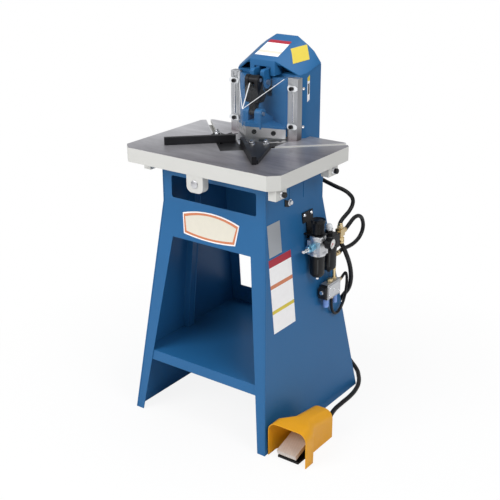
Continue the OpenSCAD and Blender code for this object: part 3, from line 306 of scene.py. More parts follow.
def guideFinish(look):  # ground along its height, darker near the table
    p = Paint("guideSteel", {"Metallic": 1.0})
    # darker toward the table, fading out upward
    oil = ((look["darkTop"] / 1000 - p.axes()[2]) * look["darkFade"]).clamp()
    streak = p.noise(1.0, 3.0, 0.6, p.stretched(500, 500, 12))
    steel = p.mix(streak * 0.6 + p.noise(9.0) * 0.4, *look["steel"])
    p.set("Base Color", p.mix(oil, steel, look["oil"]))
    p.set("Roughness", streak * 0.18 + 0.32 + oil * 0.1)
    p.bump(streak, 0.08, 0.0002)
    return p.material


clearLook = {  # how far it bends light, and how much of it shows at a slant and face on
    "bend": 1.3, "pale": ((0.80, 0.88, 0.92, 1), (0.90, 0.94, 0.96, 1)), "slanted": 0.10, "faceOn": 0.004,
}


def clearFinish(look):  # clear sheet, paler at a slant
    p = Paint("clearSheet", {"Metallic": 0.0, "IOR": look["bend"]})
    haze = p.noise(30.0)
    slant = p.node("ShaderNodeLayerWeight", {}, {"Blend": 0.2}, "Facing")
    p.set("Base Color", p.mix(haze, *look["pale"]))
    p.set("Roughness", haze * 0.05 + 0.03)
    p.set("Alpha", (slant * look["slanted"] + look["faceOn"] + haze * 0.008).clamp())
    return p.material


treadLook = {"dotRate": 900.0, "worn": ((0.52, 0.46, 0.42, 1), (0.84, 0.78, 0.74, 1))}


def treadFinish(look):  # pressed tread dots on pale worn metal
    p = Paint("treadMetal", {"Metallic": 0.35})
    waves = [p.maths("SINE", axis * look["dotRate"]) for axis in p.axes()[:2]]
    dots = (waves[0] * waves[1] - 0.25).clamp()
    grime = p.noise(60.0, 4.0)
    p.set("Base Color", p.mix((dots * 0.8 + grime * 0.4).clamp(), *look["worn"]))
    p.set("Roughness", 0.38 + grime * 0.15)
    p.bump(dots, 0.5, 0.0008)
    return p.material


gauge = {  # the dial's middle, then ticks in metres from it, with their spacing and half width in radians
    "middle": (312, 43, 647), "dialDepth": 1.2, "glassDepth": 3.6, "sweep": 2.4,
    "shortTicks": {"from": 0.0122, "to": 0.0146, "every": math.pi / 30, "half": 0.022},
    "longTicks": {"from": 0.0105, "to": 0.0146, "every": math.pi / 6, "half": 0.04},
    "white": (0.82, 0.82, 0.80, 1), "black": (0.02, 0.02, 0.02, 1),
}


def dialFinish(look):  # white dial with a ring of ticks round the needle
    p = Paint("dialPrint")
    middle = at(*look["middle"])
    across, upward = p.axes()[1] - middle.y, p.axes()[2] - middle.z
    reach = (across * across + upward * upward) ** 0.5
    angle = p.maths("ARCTAN2", across, upward)
    rings = [(reach > t["from"]) * (reach < t["to"]) * (p.maths("PINGPONG", angle, t["every"]) < t["half"])
             for t in (look["shortTicks"], look["longTicks"])]
    ink = ((rings[0] + rings[1]) * (abs(angle) < look["sweep"])).clamp()
    p.set("Base Color", p.mix(ink, look["white"], look["black"]))
    p.set("Roughness", p.noise(120.0) * 0.1 + 0.35)
    return p.material


valveLook = {
    "coilRear": 92.1, "metal": 0.85, "alloy": ((0.40, 0.41, 0.43, 1), (0.60, 0.61, 0.63, 1)),
    "coil": (0.014, 0.014, 0.016, 1),
}


def valveFinish(look):  # alloy block with a black coil in front
    p = Paint("valveAlloy")
    coil = p.axes()[1] < at(0, look["coilRear"], 0).y
    cloud = p.noise(24.0)
    p.set("Base Color", p.mix(coil, p.mix(cloud, *look["alloy"]), look["coil"]))
    p.set("Metallic", look["metal"] - coil * look["metal"])
    p.set("Roughness", 0.36 + cloud * 0.12)
    p.bump(p.noise(500.0), 0.1, 0.0002)
    return p.material


finishes["tableEnamel"] = tableFinish(tableLook)
finishes["guideSteel"] = guideFinish(guideLook)
finishes["clearSheet"] = clearFinish(clearLook)
finishes["treadMetal"] = treadFinish(treadLook)
finishes["dialPrint"] = dialFinish(gauge)
finishes["valveAlloy"] = valveFinish(valveLook)

wearers = {  # which nodes wear which finish
    "blueEnamel": "stand_side_left stand_side_right stand_front stand_rear stand_shelf stand_top_plate "
                  "column lever_bracket ram head_cover",
    "tableEnamel": "table",
    "blackCasting": "die_plate lever link fence_left fence_right cylinder_caps rod_clevis",
    "bladeSteel": "lower_blade_left lower_blade_right upper_blade_left upper_blade_right",
    "guideSteel": "guide_strip_left guide_strip_right",
    "plainSteel": "lug_screws lever_pivot_pin link_pins guard_washers tie_rods piston_rod clevis_pin "
                  "pedal_pin",
    "brightSteel": "fence_left_clamps fence_right_clamps column_side_screws",
    "treadMetal": "pedal_treadle",
    "blackScrew": "lower_blade_screws upper_blade_screws strip_screws",
    "clearSheet": "guard_left guard_right",
    "tubeAlloy": "cylinder_barrel",
    "castAlloy": "regulator_body piston",
    "valveAlloy": "air_valve",
    "blackPlastic": "air_bracket regulator_knob gauge_body filter_bowl lubricator pedal_base",
    "turnedBrass": "brass_fittings",
    "platedBlue": "inlet_plug",
    "mufflerPlastic": "mufflers",
    "redPlastic": "gauge_needle",
    "yellowEnamel": "pedal_guard",
}
for finish, names in wearers.items():
    for node in names.split():
        mesh = cadNodes[node].data
        mesh.materials.clear()
        mesh.materials.append(finishes[finish])
print("finishes set")


def hold(piece):
    deselect()
    piece.select_set(True)
    bpy.context.view_layer.objects.active = piece


def settle(piece):  # puts the piece's place and turn into its mesh
    hold(piece)
    bpy.ops.object.transform_apply(location=True, rotation=True, scale=True)


def openMesh(piece, pick=None):  # edit mode with all faces, or those that pass the test, selected
    hold(piece)
    bpy.ops.object.mode_set(mode="EDIT")
    bpy.ops.mesh.select_mode(type="FACE")
    bpy.ops.mesh.select_all(action="DESELECT" if pick else "SELECT")
    if pick:
        bpy.ops.object.mode_set(mode="OBJECT")
        for face in piece.data.polygons:
            face.select = pick(face.center, face.normal)
        bpy.ops.object.mode_set(mode="EDIT")


def closeMesh(outwards=False):
    if outwards:
        bpy.ops.mesh.select_all(action="SELECT")
        bpy.ops.mesh.normals_make_consistent(inside=False)
    bpy.ops.object.mode_set(mode="OBJECT")


def shadeSmooth(angle):
    bpy.ops.object.shade_smooth_by_angle(angle=math.radians(angle))


def modify(piece, kind, **settings):
    hold(piece)
    modifier = piece.modifiers.new(kind.title(), kind)
    for key, value in settings.items():
        setattr(modifier, key, value)
    bpy.ops.object.modifier_apply(modifier=modifier.name)


def soften(piece, width, angle=32):  # rounds the edges sharper than an angle
    modify(piece, "BEVEL", width=width / 1000, segments=2, limit_method="ANGLE",
           angle_limit=math.radians(angle))
    shadeSmooth(40)
    modify(piece, "WEIGHTED_NORMAL", keep_sharp=True)


def dress(piece, finish, body="machine", slot="blue_paint"):  # several finishes fill the slots in order
    for name in [finish] if isinstance(finish, str) else finish:
        piece.data.materials.append(finishes[name])
    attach(piece, body)


def paintFaces(piece, index, pick):
    for face in piece.data.polygons:
        if pick(face.center, face.normal):
            face.material_index = index


def plate(name, outline, place, thick, rim=0.0, drop=0.0, edge=0.4):  # flat plate drawn on a machine face
    deselect()
    bpy.ops.mesh.primitive_circle_add(vertices=len(outline), radius=0.01, fill_type="NGON")
    piece = bpy.context.object
    piece.name = name
    for vertex, point in zip(piece.data.vertices, outline):
        vertex.co = place(*point, 0)
    outward = place(*outline[0], thick) - place(*outline[0], 0)
    openMesh(piece)
    bpy.ops.mesh.extrude_region_move(TRANSFORM_OT_translate={"value": outward})
    if rim:
        bpy.ops.mesh.inset(thickness=rim / 1000, depth=drop / 1000)
    closeMesh(True)
    if edge:
        soften(piece, edge)
    return piece


def banded(piece, base, axis, bands):  # prints bands over a flat plate, each with its start, end and finish
    across = Vector(axis)
    names = [base]
    for low, high, finish in bands:
        for edge in (low, high):
            openMesh(piece)
            bpy.ops.mesh.bisect(plane_co=at(*across * edge), plane_no=across)
            closeMesh()
        paintFaces(piece, len(names), lambda c, n: low < spotOf(c).dot(across) < high)
        names.append(finish)
    dress(piece, names)


# stepped round form, whose steps are the distance along its axis and the radius there
def turned(name, centre, axis, steps, sides, edge=0.0):
    deselect()
    start, radius = steps[0]
    bpy.ops.mesh.primitive_circle_add(
        vertices=sides, radius=radius / 1000, fill_type="NGON", location=(0, 0, start / 1000))
    piece = bpy.context.object
    piece.name = name
    settle(piece)
    openMesh(piece)
    for (z0, r0), (z1, r1) in zip(steps, steps[1:]):
        bpy.ops.mesh.extrude_region_move(TRANSFORM_OT_translate={"value": (0, 0, (z1 - z0) / 1000)})
        if r1 != r0:
            bpy.ops.transform.resize(value=(r1 / r0, r1 / r0, 1), center_override=(0, 0, z1 / 1000))
    closeMesh(True)
    piece.rotation_euler = Vector(axis).to_track_quat("Z", "Y").to_euler()
    piece.location = at(*centre)
    settle(piece)
    if edge:
        soften(piece, edge)
    else:
        hold(piece)
        shadeSmooth(38)
    return piece


def fitting(name, p):  # a turned piece from its own dictionary
    piece = turned(name, p["at"], p["axis"], p["steps"], p["sides"], p.get("edge", 0.0))
    dress(piece, p["finish"], slot=p["slot"])


def rod(name, start, end, diameter, sides):
    along = at(*end) - at(*start)
    return turned(name, start, along, [(0, diameter / 2), (along.length * 1000, diameter / 2)], sides)


def joined(pieces, name):
    deselect()
    for piece in pieces:
        piece.select_set(True)
    bpy.context.view_layer.objects.active = pieces[0]
    bpy.ops.object.join()
    pieces[0].name = name
    return pieces[0]


def mirrored(piece, name):  # own mesh on the other side of the machine
    hold(piece)
    bpy.ops.object.duplicate()
    twin = bpy.context.object
    twin.name = name
    for vertex in twin.data.vertices:
        vertex.co.x = -2 * origin[0] / 1000 - vertex.co.x
    openMesh(twin)
    closeMesh(True)
    return twin


def dressPair(piece, twinName, finish, slot="blue_paint"):  # a right-hand piece and its twin on the left
    dress(mirrored(piece, twinName), finish, slot=slot)
    dress(piece, finish, slot=slot)


# the machine's own faces, each drawn on in two coordinates and a lift off the face
faces = {
    "stand": {"front": 184, "side": 206, "fold": 759, "frontRun": 103, "sideRun": 71},
    "column": {"side": 135}, "roof": {"foot": (90, 1205), "rise": 61, "run": 146}, "strip": {"front": 93},
    "valve": {"side": 271},
}


def onFront(x, z, lift):  # the stand's front sheet, sloped below the fold
    p = faces["stand"]
    slope = p["frontRun"] / p["fold"]
    y = -p["front"] - max(0, p["fold"] - z) * slope
    return at(x, y - lift, z + lift * slope)


def onSide(y, z, lift):  # the stand's right sheet
    p = faces["stand"]
    slope = p["sideRun"] / p["fold"]
    x = p["side"] + max(0, p["fold"] - z) * slope
    return at(x + lift, y, z + lift * slope)


def onColumn(y, z, lift):
    return at(faces["column"]["side"] + lift, y, z)


def onRoof(x, y, lift):
    p = faces["roof"]
    slope = p["rise"] / p["run"]
    return at(x, y - lift * slope, p["foot"][1] + (y - p["foot"][0]) * slope + lift)


def onStrip(x, z, lift):
    return at(x, faces["strip"]["front"] - lift, z)


def onValve(y, z, lift):
    return at(faces["valve"]["side"] + lift, y, z)


softEdges = {  # bevel width of each CAD node that gets soft edges
    "stand_side_left": 1.2, "stand_side_right": 1.2, "stand_front": 1.2, "stand_rear": 1.2,
    "stand_shelf": 2.0, "table": 1.6, "column": 2.5, "head_cover": 2.5, "ram": 1.5, "lever_bracket": 1.2,
    "lever": 1.2, "link": 1.2, "fence_left": 1.2, "fence_right": 1.2,
    "upper_blade_left": 0.5, "upper_blade_right": 0.5,
    "lower_blade_left": 0.4, "lower_blade_right": 0.4, "guide_strip_left": 0.8, "guide_strip_right": 0.8,
    "die_plate": 0.5, "cylinder_caps": 1.5, "rod_clevis": 1.0, "regulator_body": 1.5, "lubricator": 1.5,
    "air_valve": 1.0, "air_bracket": 0.8, "brass_fittings": 0.8, "pedal_base": 1.5, "pedal_treadle": 1.0,
    "pedal_guard": 0.6, "filter_bowl": 1.5, "gauge_body": 1.0, "mufflers": 1.2, "inlet_plug": 0.8,
}


def softCopy(node, width):
    first, *rest = node.split("_")
    name = first + "".join(word.title() for word in rest) + "Soft"
    piece = bpy.data.objects.new(name, cadNodes[node].data.copy())
    scene.collection.objects.link(piece)
    openMesh(piece)
    bpy.ops.mesh.remove_doubles(threshold=0.00002)
    bpy.ops.mesh.dissolve_limited(angle_limit=math.radians(0.6))
    closeMesh()
    soften(piece, width, 34)
    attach(piece, bodyOf[node])
    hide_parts(node)


for node, width in softEdges.items():
    softCopy(node, width)
print("edges softened")

badge = {  # three printed layers, each with its inset, thickness and finish
    "middle": -7, "halfTop": 115, "halfLow": 105, "top": 734, "low": 666, "crown": 18, "belly": 8,
    "layers": {"badgeBorder": (0, 1.2, "whitePrint"), "badgeFrame": (4, 1.5, "orangePrint"),
               "badgeField": (11, 1.8, "creamPrint")},
}


def badgeOutline(p, inset):
    spots = [k / 6 for k in range(-6, 7)]
    wide, narrow = p["halfTop"] - inset, p["halfLow"] - inset
    low = [(p["middle"] + narrow * s, p["low"] + inset - p["belly"] * (1 - s * s)) for s in spots]
    high = [(p["middle"] - wide * s, p["top"] - inset + p["crown"] * (1 - s * s)) for s in spots]
    return low + high


for name, (inset, thick, finish) in badge["layers"].items():
    dress(plate(name, badgeOutline(badge, inset), onFront, thick), finish)


def box(y, z):
    return [(y[0], z[0]), (y[1], z[0]), (y[1], z[1]), (y[0], z[1])]


sizePlate = {"y": (-178, -108), "z": (645, 751), "thick": 0.8, "rim": 2.5, "drop": -0.3}
outline = box(sizePlate["y"], sizePlate["z"])
notice = plate("sizePlate", outline, onSide, sizePlate["thick"], sizePlate["rim"], sizePlate["drop"])
dress(notice, "silverPrint")

longPlate = {
    "y": (-183, -59), "z": (390, 638), "thick": 0.5,
    "bands": [(613, 640, "redPrint"), (541, 554, "orangePrint"), (456, 468, "yellowPrint")],
}
notice = plate("longPlate", box(longPlate["y"], longPlate["z"]), onSide, longPlate["thick"], edge=0)
banded(notice, "whitePrint", up, longPlate["bands"])

latch = {
    "arm": [(-80, 812), (-79, 788), (-60, 781), (-46, 784), (-40, 795), (-46, 806), (-62, 803)], "thick": 3,
    "bolt": (206, -54, 796), "washer": [(2, 11), (5, 11)], "head": [(5, 8.5), (11, 8.5), (12, 7)],
}
dress(plate("latchArm", latch["arm"], onSide, latch["thick"]), "blackPlastic")
latchBolt = [turned("latchBolt", latch["bolt"], right, latch["washer"], 32, 0.4),
             turned("boltHead", latch["bolt"], right, latch["head"], 6, 0.4)]
dress(joined(latchBolt, "latchBolt"), "brightSteel")

panelBends = {"ribs": [(-52, 800), (31, 790)], "top": 888, "half": 1.5, "thick": 1.4}  # each rib's y and foot
for k, (y, foot) in enumerate(panelBends["ribs"]):
    outline = box((y - panelBends["half"], y + panelBends["half"]), (foot, panelBends["top"]))
    dress(plate("panelBend" + str(k), outline, onSide, panelBends["thick"]), "blueEnamel")

bracketScrews = {"at": [(213, 27, 729), (213, 67, 729)], "steps": [(0, 6.5), (2, 6.5), (4.5, 4.5)]}
screws = [turned("bracketScrew", spot, right, bracketScrews["steps"], 24, 0.4)
          for spot in bracketScrews["at"]]
dress(joined(screws, "bracketScrews"), "brightSteel")

corner = {"foot": (276, -286, 1), "fold": (205, -183, 759), "top": (205, -183, 901), "diameter": 5}
bends = [rod("cornerBend", corner[low], corner[high], corner["diameter"], 14)
         for low, high in (("foot", "fold"), ("fold", "top"))]
dressPair(joined(bends, "cornerBendRight"), "cornerBendLeft", "blueEnamel")
print("stand dressed")

roofPlate = {
    "outline": [(-46, 113), (46, 113), (42.5, 199), (-42.5, 199)], "thick": 0.6,
    "bands": [(183, 200, "redPrint"), (127, 140, "creamPrint")],
}
notice = plate("roofPlate", roofPlate["outline"], onRoof, roofPlate["thick"], edge=0)
banded(notice, "whitePrint", rear, roofPlate["bands"])

capPlate = {  # corners near the head's side, the distance it is drawn off them, and its thickness
    "corners": [(89, 135, 1193), (113, 197, 1201), (80, 232, 1241), (54, 172, 1233)], "off": 40, "thick": 0.6,
    "gap": 0.4, "steps": 12,
}


def drapedPlate(name, p):  # thin plate that follows the head's bent side
    deselect()
    bpy.ops.mesh.primitive_grid_add(x_subdivisions=p["steps"], y_subdivisions=p["steps"], size=2)
    piece = bpy.context.object
    piece.name = name
    a, b, c, d = [at(*spot) for spot in p["corners"]]
    off = Vector((p["off"] / 1000, 0, 0))
    for vertex in piece.data.vertices:
        u, v = (vertex.co.x + 1) / 2, (vertex.co.y + 1) / 2
        vertex.co = (a * (1 - u) + b * u) * (1 - v) + (d * (1 - u) + c * u) * v + off
    modify(piece, "SHRINKWRAP", target=cadNodes["head_cover"], wrap_method="PROJECT", use_project_x=True,
           use_positive_direction=False, use_negative_direction=True, offset=p["gap"] / 1000)
    modify(piece, "SOLIDIFY", thickness=p["thick"] / 1000, offset=1)
    shadeSmooth(30)
    return piece


dress(drapedPlate("capPlate", capPlate), "yellowPrint")

columnPlate = {
    "outline": [(154, 1070), (168, 1077), (167, 1158), (154, 1150)], "thick": 0.6,
    "bands": [(1139, 1160, "yellowPrint")],
    "window": [(157, 1094), (165, 1097), (165, 1132), (157, 1129)], "windowThick": 0.9,
}
notice = plate("columnPlate", columnPlate["outline"], onColumn, columnPlate["thick"], edge=0)
banded(notice, "whitePrint", up, columnPlate["bands"])
window = plate("columnWindow", columnPlate["window"], onColumn, columnPlate["windowThick"], edge=0)
dress(window, "darkPrint")

guard = {  # white rods run from the nose along the clear guard's edges, a painted highlight where those edges catch the light
    "nose": (0.5, -21, 1063), "ends": [(92, 82, 1152), (0.5, 20, 1140)], "diameter": 2.2,
}
edges = [rod("guardEdge", guard["nose"], end, guard["diameter"], 8) for end in guard["ends"]]
dressPair(joined(edges, "guardEdgeGlintsRight"), "guardEdgeGlintsLeft", "whitePlastic", "clear_sheet")

clip = {  # outline as x and the height over the clip's middle
    "outline": [(102, -9), (128, -9), (137, -4), (137, 4), (128, 9), (102, 9), (99, 5), (99, -5)],
    "heights": (1123, 997), "thick": 2.4, "rim": 2.5, "drop": -0.6, "edge": 0.3,
}
clips = []
for z in clip["heights"]:
    outline = [(x, z + rise) for x, rise in clip["outline"]]
    clips.append(plate("clipPlate", outline, onStrip, clip["thick"], clip["rim"], clip["drop"], clip["edge"]))
dressPair(joined(clips, "guardClipsRight"), "guardClipsLeft", "whitePlastic", "clear_sheet")

stripBead = {"low": (118, 98.5, 1010), "high": (118, 98.5, 1110), "diameter": 8}
bead = rod("stripBeadRight", stripBead["low"], stripBead["high"], stripBead["diameter"], 24)
dressPair(bead, "stripBeadLeft", "brightSteel", "tool_steel")
print("head dressed")

lugs = {  # the table's lugs: the side each is on (1 right, -1 left) and its y and z
    "places": [(1, -226, 885), (1, 70, 885), (-1, -150, 877), (-1, 70, 885)],
    "knobX": 291, "knob": [(8, 8.6), (12, 9), (17, 9), (18.5, 7)],
    "ringX": 290, "ring": [(0.5, 11), (1.5, 12), (6, 12), (7, 10.6)],
}
frontRing = {
    "at": (0, -274.6, 874), "axis": front, "steps": [(0, 13), (1.2, 13), (1.6, 12.4)], "sides": 40,
    "finish": "plainSteel", "slot": "screw_steel",
}
fitting("frontRing", frontRing)
knobs = [turned("lugKnob", (side * lugs["knobX"], y, z), (side, 0, 0), lugs["knob"], 24, 0.4)
         for side, y, z in lugs["places"]]
dress(joined(knobs, "lugKnobs"), "blackScrew", slot="black_screws")
rings = [turned("lugRing", (side * lugs["ringX"], y, z), (side, 0, 0), lugs["ring"], 36, 0.3)
         for side, y, z in lugs["places"]]
dress(joined(rings, "lugRings"), "brightSteel", slot="screw_steel")
print("table dressed")

unit = {"x": 257, "regulator": 43, "lubricator": 118, "dome": 112, "port": 633, "low": 600, "top": 666}


def turnAngle(point, y):  # degrees round an upright axis of the air unit
    across = point.x - (unit["x"] - origin[0]) / 1000
    return math.degrees(math.atan2(point.y - (y - origin[1]) / 1000, across))


pressureKnob = {
    "foot": 4.4, "steps": [(0, 20), (2, 21.4), (38, 20.8), (44, 19.6), (47, 16.5), (48, 12)],
    "flute": 6, "fluteRim": 0.4, "fluteDepth": 0.9, "bore": 4.5, "boreDepth": 10,
}


def isFlute(c, n):  # about every other upright face, 31 low and 29 high
    turn = turnAngle(c, unit["regulator"]) + 183
    return abs(n.z) < 0.2 and int(turn / pressureKnob["flute"]) % 2 == 0


knobPlace = (unit["x"], unit["regulator"], unit["top"] + pressureKnob["foot"])
knob = turned("pressureKnob", knobPlace, up, pressureKnob["steps"], 60)
openMesh(knob, isFlute)
bpy.ops.mesh.inset(
    thickness=pressureKnob["fluteRim"] / 1000, depth=-pressureKnob["fluteDepth"] / 1000, use_individual=True)
closeMesh()
openMesh(knob, lambda c, n: n.z < -0.9)  # the foot, but the top walls of the low flutes pass too
bpy.ops.mesh.inset(thickness=pressureKnob["bore"] / 1000, depth=0)
bpy.ops.mesh.extrude_region_move(TRANSFORM_OT_translate={"value": (0, 0, pressureKnob["boreDepth"] / 1000)})
closeMesh()
shadeSmooth(30)
dress(knob, "blackPlastic", "regulator_knob", "black_plastic")
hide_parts("regulator_knob")

bezelSteps = [(0, 20.8), (5.0, 20.8), (5.6, 20.2), (5.6, 18.4), (gauge["dialDepth"], 17.6)]
bezel = turned("gaugeBezel", gauge["middle"], right, bezelSteps, 64)
dialX = gauge["middle"][0] + gauge["dialDepth"]
paintFaces(bezel, 1, lambda c, n: abs(n.x) > 0.9 and abs(spotOf(c).x - dialX) < 0.3)
dress(bezel, ["blackPlastic", "dialPrint"], slot="black_plastic")
glass = {
    "at": (gauge["middle"][0] + gauge["glassDepth"], *gauge["middle"][1:]), "axis": right,
    "steps": [(0, 18), (0.7, 18), (1.2, 13), (1.4, 6)], "sides": 48,
    "finish": "clearSheet", "slot": "clear_sheet",
}
fitting("gaugeGlass", glass)

shell = {  # a moulded bowl under the unit; the sight windows' height, turn and width are in mm and degrees
    "drop": 73, "steps": [(0, 19), (2, 22.6), (6, 24.4), (62, 24.4), (65, 25.4), (72, 25.4)],
    "window": (540, 590), "turn": 66, "every": 120, "width": 24, "rim": 2.5, "depth": 1.2, "floor": 23.2,
}


def bowlShell(name, y, p):
    piece = turned(name, (unit["x"], y, unit["low"] - p["drop"]), up, p["steps"], 60)

    def isWindow(c, n):
        level = p["window"][0] < c.z * 1000 < p["window"][1]
        return abs(n.z) < 0.1 and level and (turnAngle(c, y) + p["turn"]) % p["every"] < p["width"]

    def isWindowFloor(c, n):
        return abs((c.xy - at(unit["x"], y, 0).xy).length * 1000 - p["floor"]) < 0.12

    openMesh(piece, isWindow)
    bpy.ops.mesh.inset(thickness=p["rim"] / 1000, depth=-p["depth"] / 1000)
    closeMesh()
    paintFaces(piece, 1, isWindowFloor)
    return piece


for name, y in (("filterShell", unit["regulator"]), ("oilerShell", unit["lubricator"])):
    dress(bowlShell(name, y, shell), ["blackPlastic", "darkPrint"], slot="black_plastic")

unitFittings = {
    "drainScrew": {
        "at": (unit["x"], unit["regulator"], unit["low"] - 91), "axis": up,
        "steps": [(0, 4), (1, 6), (8, 6), (9, 5)],
        "sides": 24, "edge": 0.3, "finish": "brightSteel", "slot": "screw_steel"},
    "oilerRing": {
        "at": (unit["x"], unit["dome"], unit["top"] - 2), "axis": up,
        "steps": [(0, 13), (1, 14), (5, 14), (6, 12.6)],
        "sides": 40, "finish": "castAlloy", "slot": "unit_alloy"},
    "oilerDome": {
        "at": (unit["x"], unit["dome"], unit["top"] + 3), "axis": up,
        "steps": [(0, 11), (6, 11.6), (11, 10.4), (15, 7.4), (17, 3)],
        "sides": 40, "finish": "whitePlastic", "slot": "clear_sheet"},
    "regulatorCollar": {
        "at": (unit["x"], unit["regulator"], unit["top"] - 16), "axis": up,
        "steps": [(0, 26.4), (1, 27.2), (12, 27.2), (15, 25)],
        "sides": 48, "finish": "castAlloy", "slot": "unit_alloy"},
    "regulatorFoot": {
        "at": (unit["x"], unit["regulator"], unit["low"] - 2), "axis": up,
        "steps": [(0, 27.5), (6, 28.5), (10, 28.5), (14, 26.6)],
        "sides": 48, "finish": "castAlloy", "slot": "unit_alloy"},
}
for name, p in unitFittings.items():
    fitting(name, p)

nuts = [  # place, axis, length, radius
    ((257, 185, 646), up, 11, 10.6), ((257, 200, 633), rear, 11, 10.6), ((260, 191, 614), down, 11, 9.6),
    ((257, 143, 633), rear, 10, 11.5), ((257, 126, 471), up, 11, 11), ((257, 160, 560), rear, 13, 9),
    ((257, 176, 457), rear, 13, 9), ((257, 154, 471), up, 9, 9),
]
made = [turned("fittingNut", place, axis, [(0, r - 1), (1, r), (length - 1, r), (length, r - 1)], 6, 0.3)
        for place, axis, length, r in nuts]
dress(joined(made, "fittingNuts"), "turnedBrass", slot="brass")

plug = {
    "nutY": 2, "nut": [(0, 13), (1, 14), (13, 14), (14, 13)],
    "ringY": -14, "ring": [(0, 10), (1, 11), (5, 11), (6, 9.4)],
}
plugParts = [turned("plugNut", (unit["x"], plug["nutY"], unit["port"]), front, plug["nut"], 6, 0.3),
             turned("plugRing", (unit["x"], plug["ringY"], unit["port"]), front, plug["ring"], 32)]
dress(joined(plugParts, "plugNut"), "platedBlue", slot="plug_steel")
plugTip = {
    "at": (unit["x"], -18, unit["port"]), "axis": front,
    "steps": [(0, 8.4), (3, 8.4), (5, 6.4), (9, 6.4), (11, 7.4), (15, 7.4), (18, 5.8), (26, 5.8), (27.5, 4.6)],
    "sides": 32, "finish": "brightSteel", "slot": "plug_steel",
}
fitting("plugTip", plugTip)

valve = {
    "relief": [(97, 421), (172, 421), (172, 452), (160, 464), (97, 464)], "reliefSizes": (1.6, 4, -0.8),
    "coil": [(78, 426), (90, 426), (90, 460), (78, 460)], "coilSizes": (1.4, 3, 0.5),
    "bolts": [(104, 428), (166, 428), (104, 457), (135, 442)], "bolt": [(0, 4), (3, 4), (4, 3)],
    "coilNutAt": (257, 77, 446), "coilNut": [(0, 8), (4, 8), (5, 7)],
}
relief = plate("valveRelief", valve["relief"], onValve, *valve["reliefSizes"])
dress(relief, "castAlloy", slot="unit_alloy")
coil = plate("coilCase", valve["coil"], onValve, *valve["coilSizes"])
dress(coil, "blackPlastic", slot="black_plastic")
bits = [turned("valveBolt", (faces["valve"]["side"], y, z), right, valve["bolt"], 24, 0.3)
        for y, z in valve["bolts"]]
bits.append(turned("coilNut", valve["coilNutAt"], front, valve["coilNut"], 6, 0.3))
dress(joined(bits, "valveBolts"), "brightSteel", slot="screw_steel")

muffler = {  # each one's y, lowest height and radius, then the ribs all of them share
    "each": {"mufflerLarge": (104, 385, 10.6), "mufflerSmall": (164, 381, 8.1)},
    "top": 415, "rib": 3, "groove": 0.7,
}
for name, (y, low, r) in muffler["each"].items():
    rib = muffler["rib"]
    heights = range(low, muffler["top"], rib)
    steps = [(z - low, r if (z // rib) % 2 else r - muffler["groove"]) for z in heights]
    dress(turned(name, (unit["x"], y, low), up, steps, 32), "mufflerPlastic", slot="muffler")
print("air unit dressed")

pedalSleeve = {"gland": (352, -58, 26), "ribs": 7, "pitch": 4}


def sleeveSteps(p):  # a collar, then ribs that grow thinner toward the hose
    steps = [(0, 11.5), (4, 11.5), (4.5, 9.4)]
    for k in range(p["ribs"]):
        along = p["pitch"] * k
        steps += [(6 + along, 9.2 - 0.25 * k), (8 + along, 9.2 - 0.25 * k), (8.4 + along, 8.4 - 0.2 * k)]
    return steps


sleeve = turned("pedalSleeve", pedalSleeve["gland"], rear, sleeveSteps(pedalSleeve), 28)
dress(sleeve, "blackPlastic", slot="black_plastic")
print("pedal dressed")

hoses = {  # diameters in metres; ferrules have a place and an axis
    "hoseToCylinder": {
        "node": "hose_cylinder", "diameter": 0.014,
        "route": [
            (257, 185, 657), (257, 185, 665), (257, 196, 674), (257, 222, 684), (257, 246, 694),
            (258, 262, 711), (256, 265, 729), (248, 256, 747), (232, 248, 760), (206, 240, 770),
            (178, 240, 777), (150, 244, 783), (120, 241, 799), (96, 226, 830), (78, 208, 862),
            (66, 200, 886), (45, 200, 886)],
        "ferrules": [((257, 185, 656), up), ((45, 200, 886), right)]},
    "hoseLoop": {
        "node": "hose_loop", "diameter": 0.014,
        "route": [
            (257, 211, 633), (257, 219, 633), (257, 248, 645), (257, 266, 653), (257, 286, 658),
            (257, 317, 652), (256, 340, 630), (256, 345, 600), (255, 330, 576), (254, 300, 562),
            (252, 264, 557), (250, 232, 558), (252, 206, 560), (257, 184, 560), (257, 174, 560)],
        "ferrules": [((257, 210, 633), rear), ((257, 173, 560), rear)]},
    "hoseToValve": {
        "node": "hose_valve", "diameter": 0.010,
        "route": [
            (257, 141, 415), (257, 141, 392), (257, 146, 362), (256, 164, 338), (255, 192, 332),
            (254, 206, 337), (254, 218, 346), (254, 236, 372), (254, 245, 404), (254, 248, 434),
            (254, 244, 456), (255, 234, 466), (256, 221, 464), (257, 202, 457), (257, 190, 457)],
        "ferrules": [((257, 141, 416), down), ((257, 189, 457), rear)]},
    "hoseToPedal": {
        "node": "hose_pedal", "diameter": 0.016,
        "route": [
            (260, 191, 603), (260, 191, 592), (268, 197, 571), (272, 208, 546), (272, 228, 511),
            (270, 246, 468), (264, 258, 430), (252, 266, 396), (230, 272, 362), (204, 280, 326),
            (178, 292, 286), (162, 305, 240), (158, 324, 190), (165, 350, 130), (180, 380, 72),
            (202, 396, 30), (230, 388, 11), (260, 352, 8.5), (287, 306, 8.5), (304, 256, 8.5),
            (312, 200, 8.5), (313, 140, 8.5), (316, 84, 8.5), (330, 30, 9), (344, -8, 15),
            (352, -34, 24), (352, -44, 26), (352, -58, 26)],
        "ferrules": [((260, 191, 604), down)]},
}


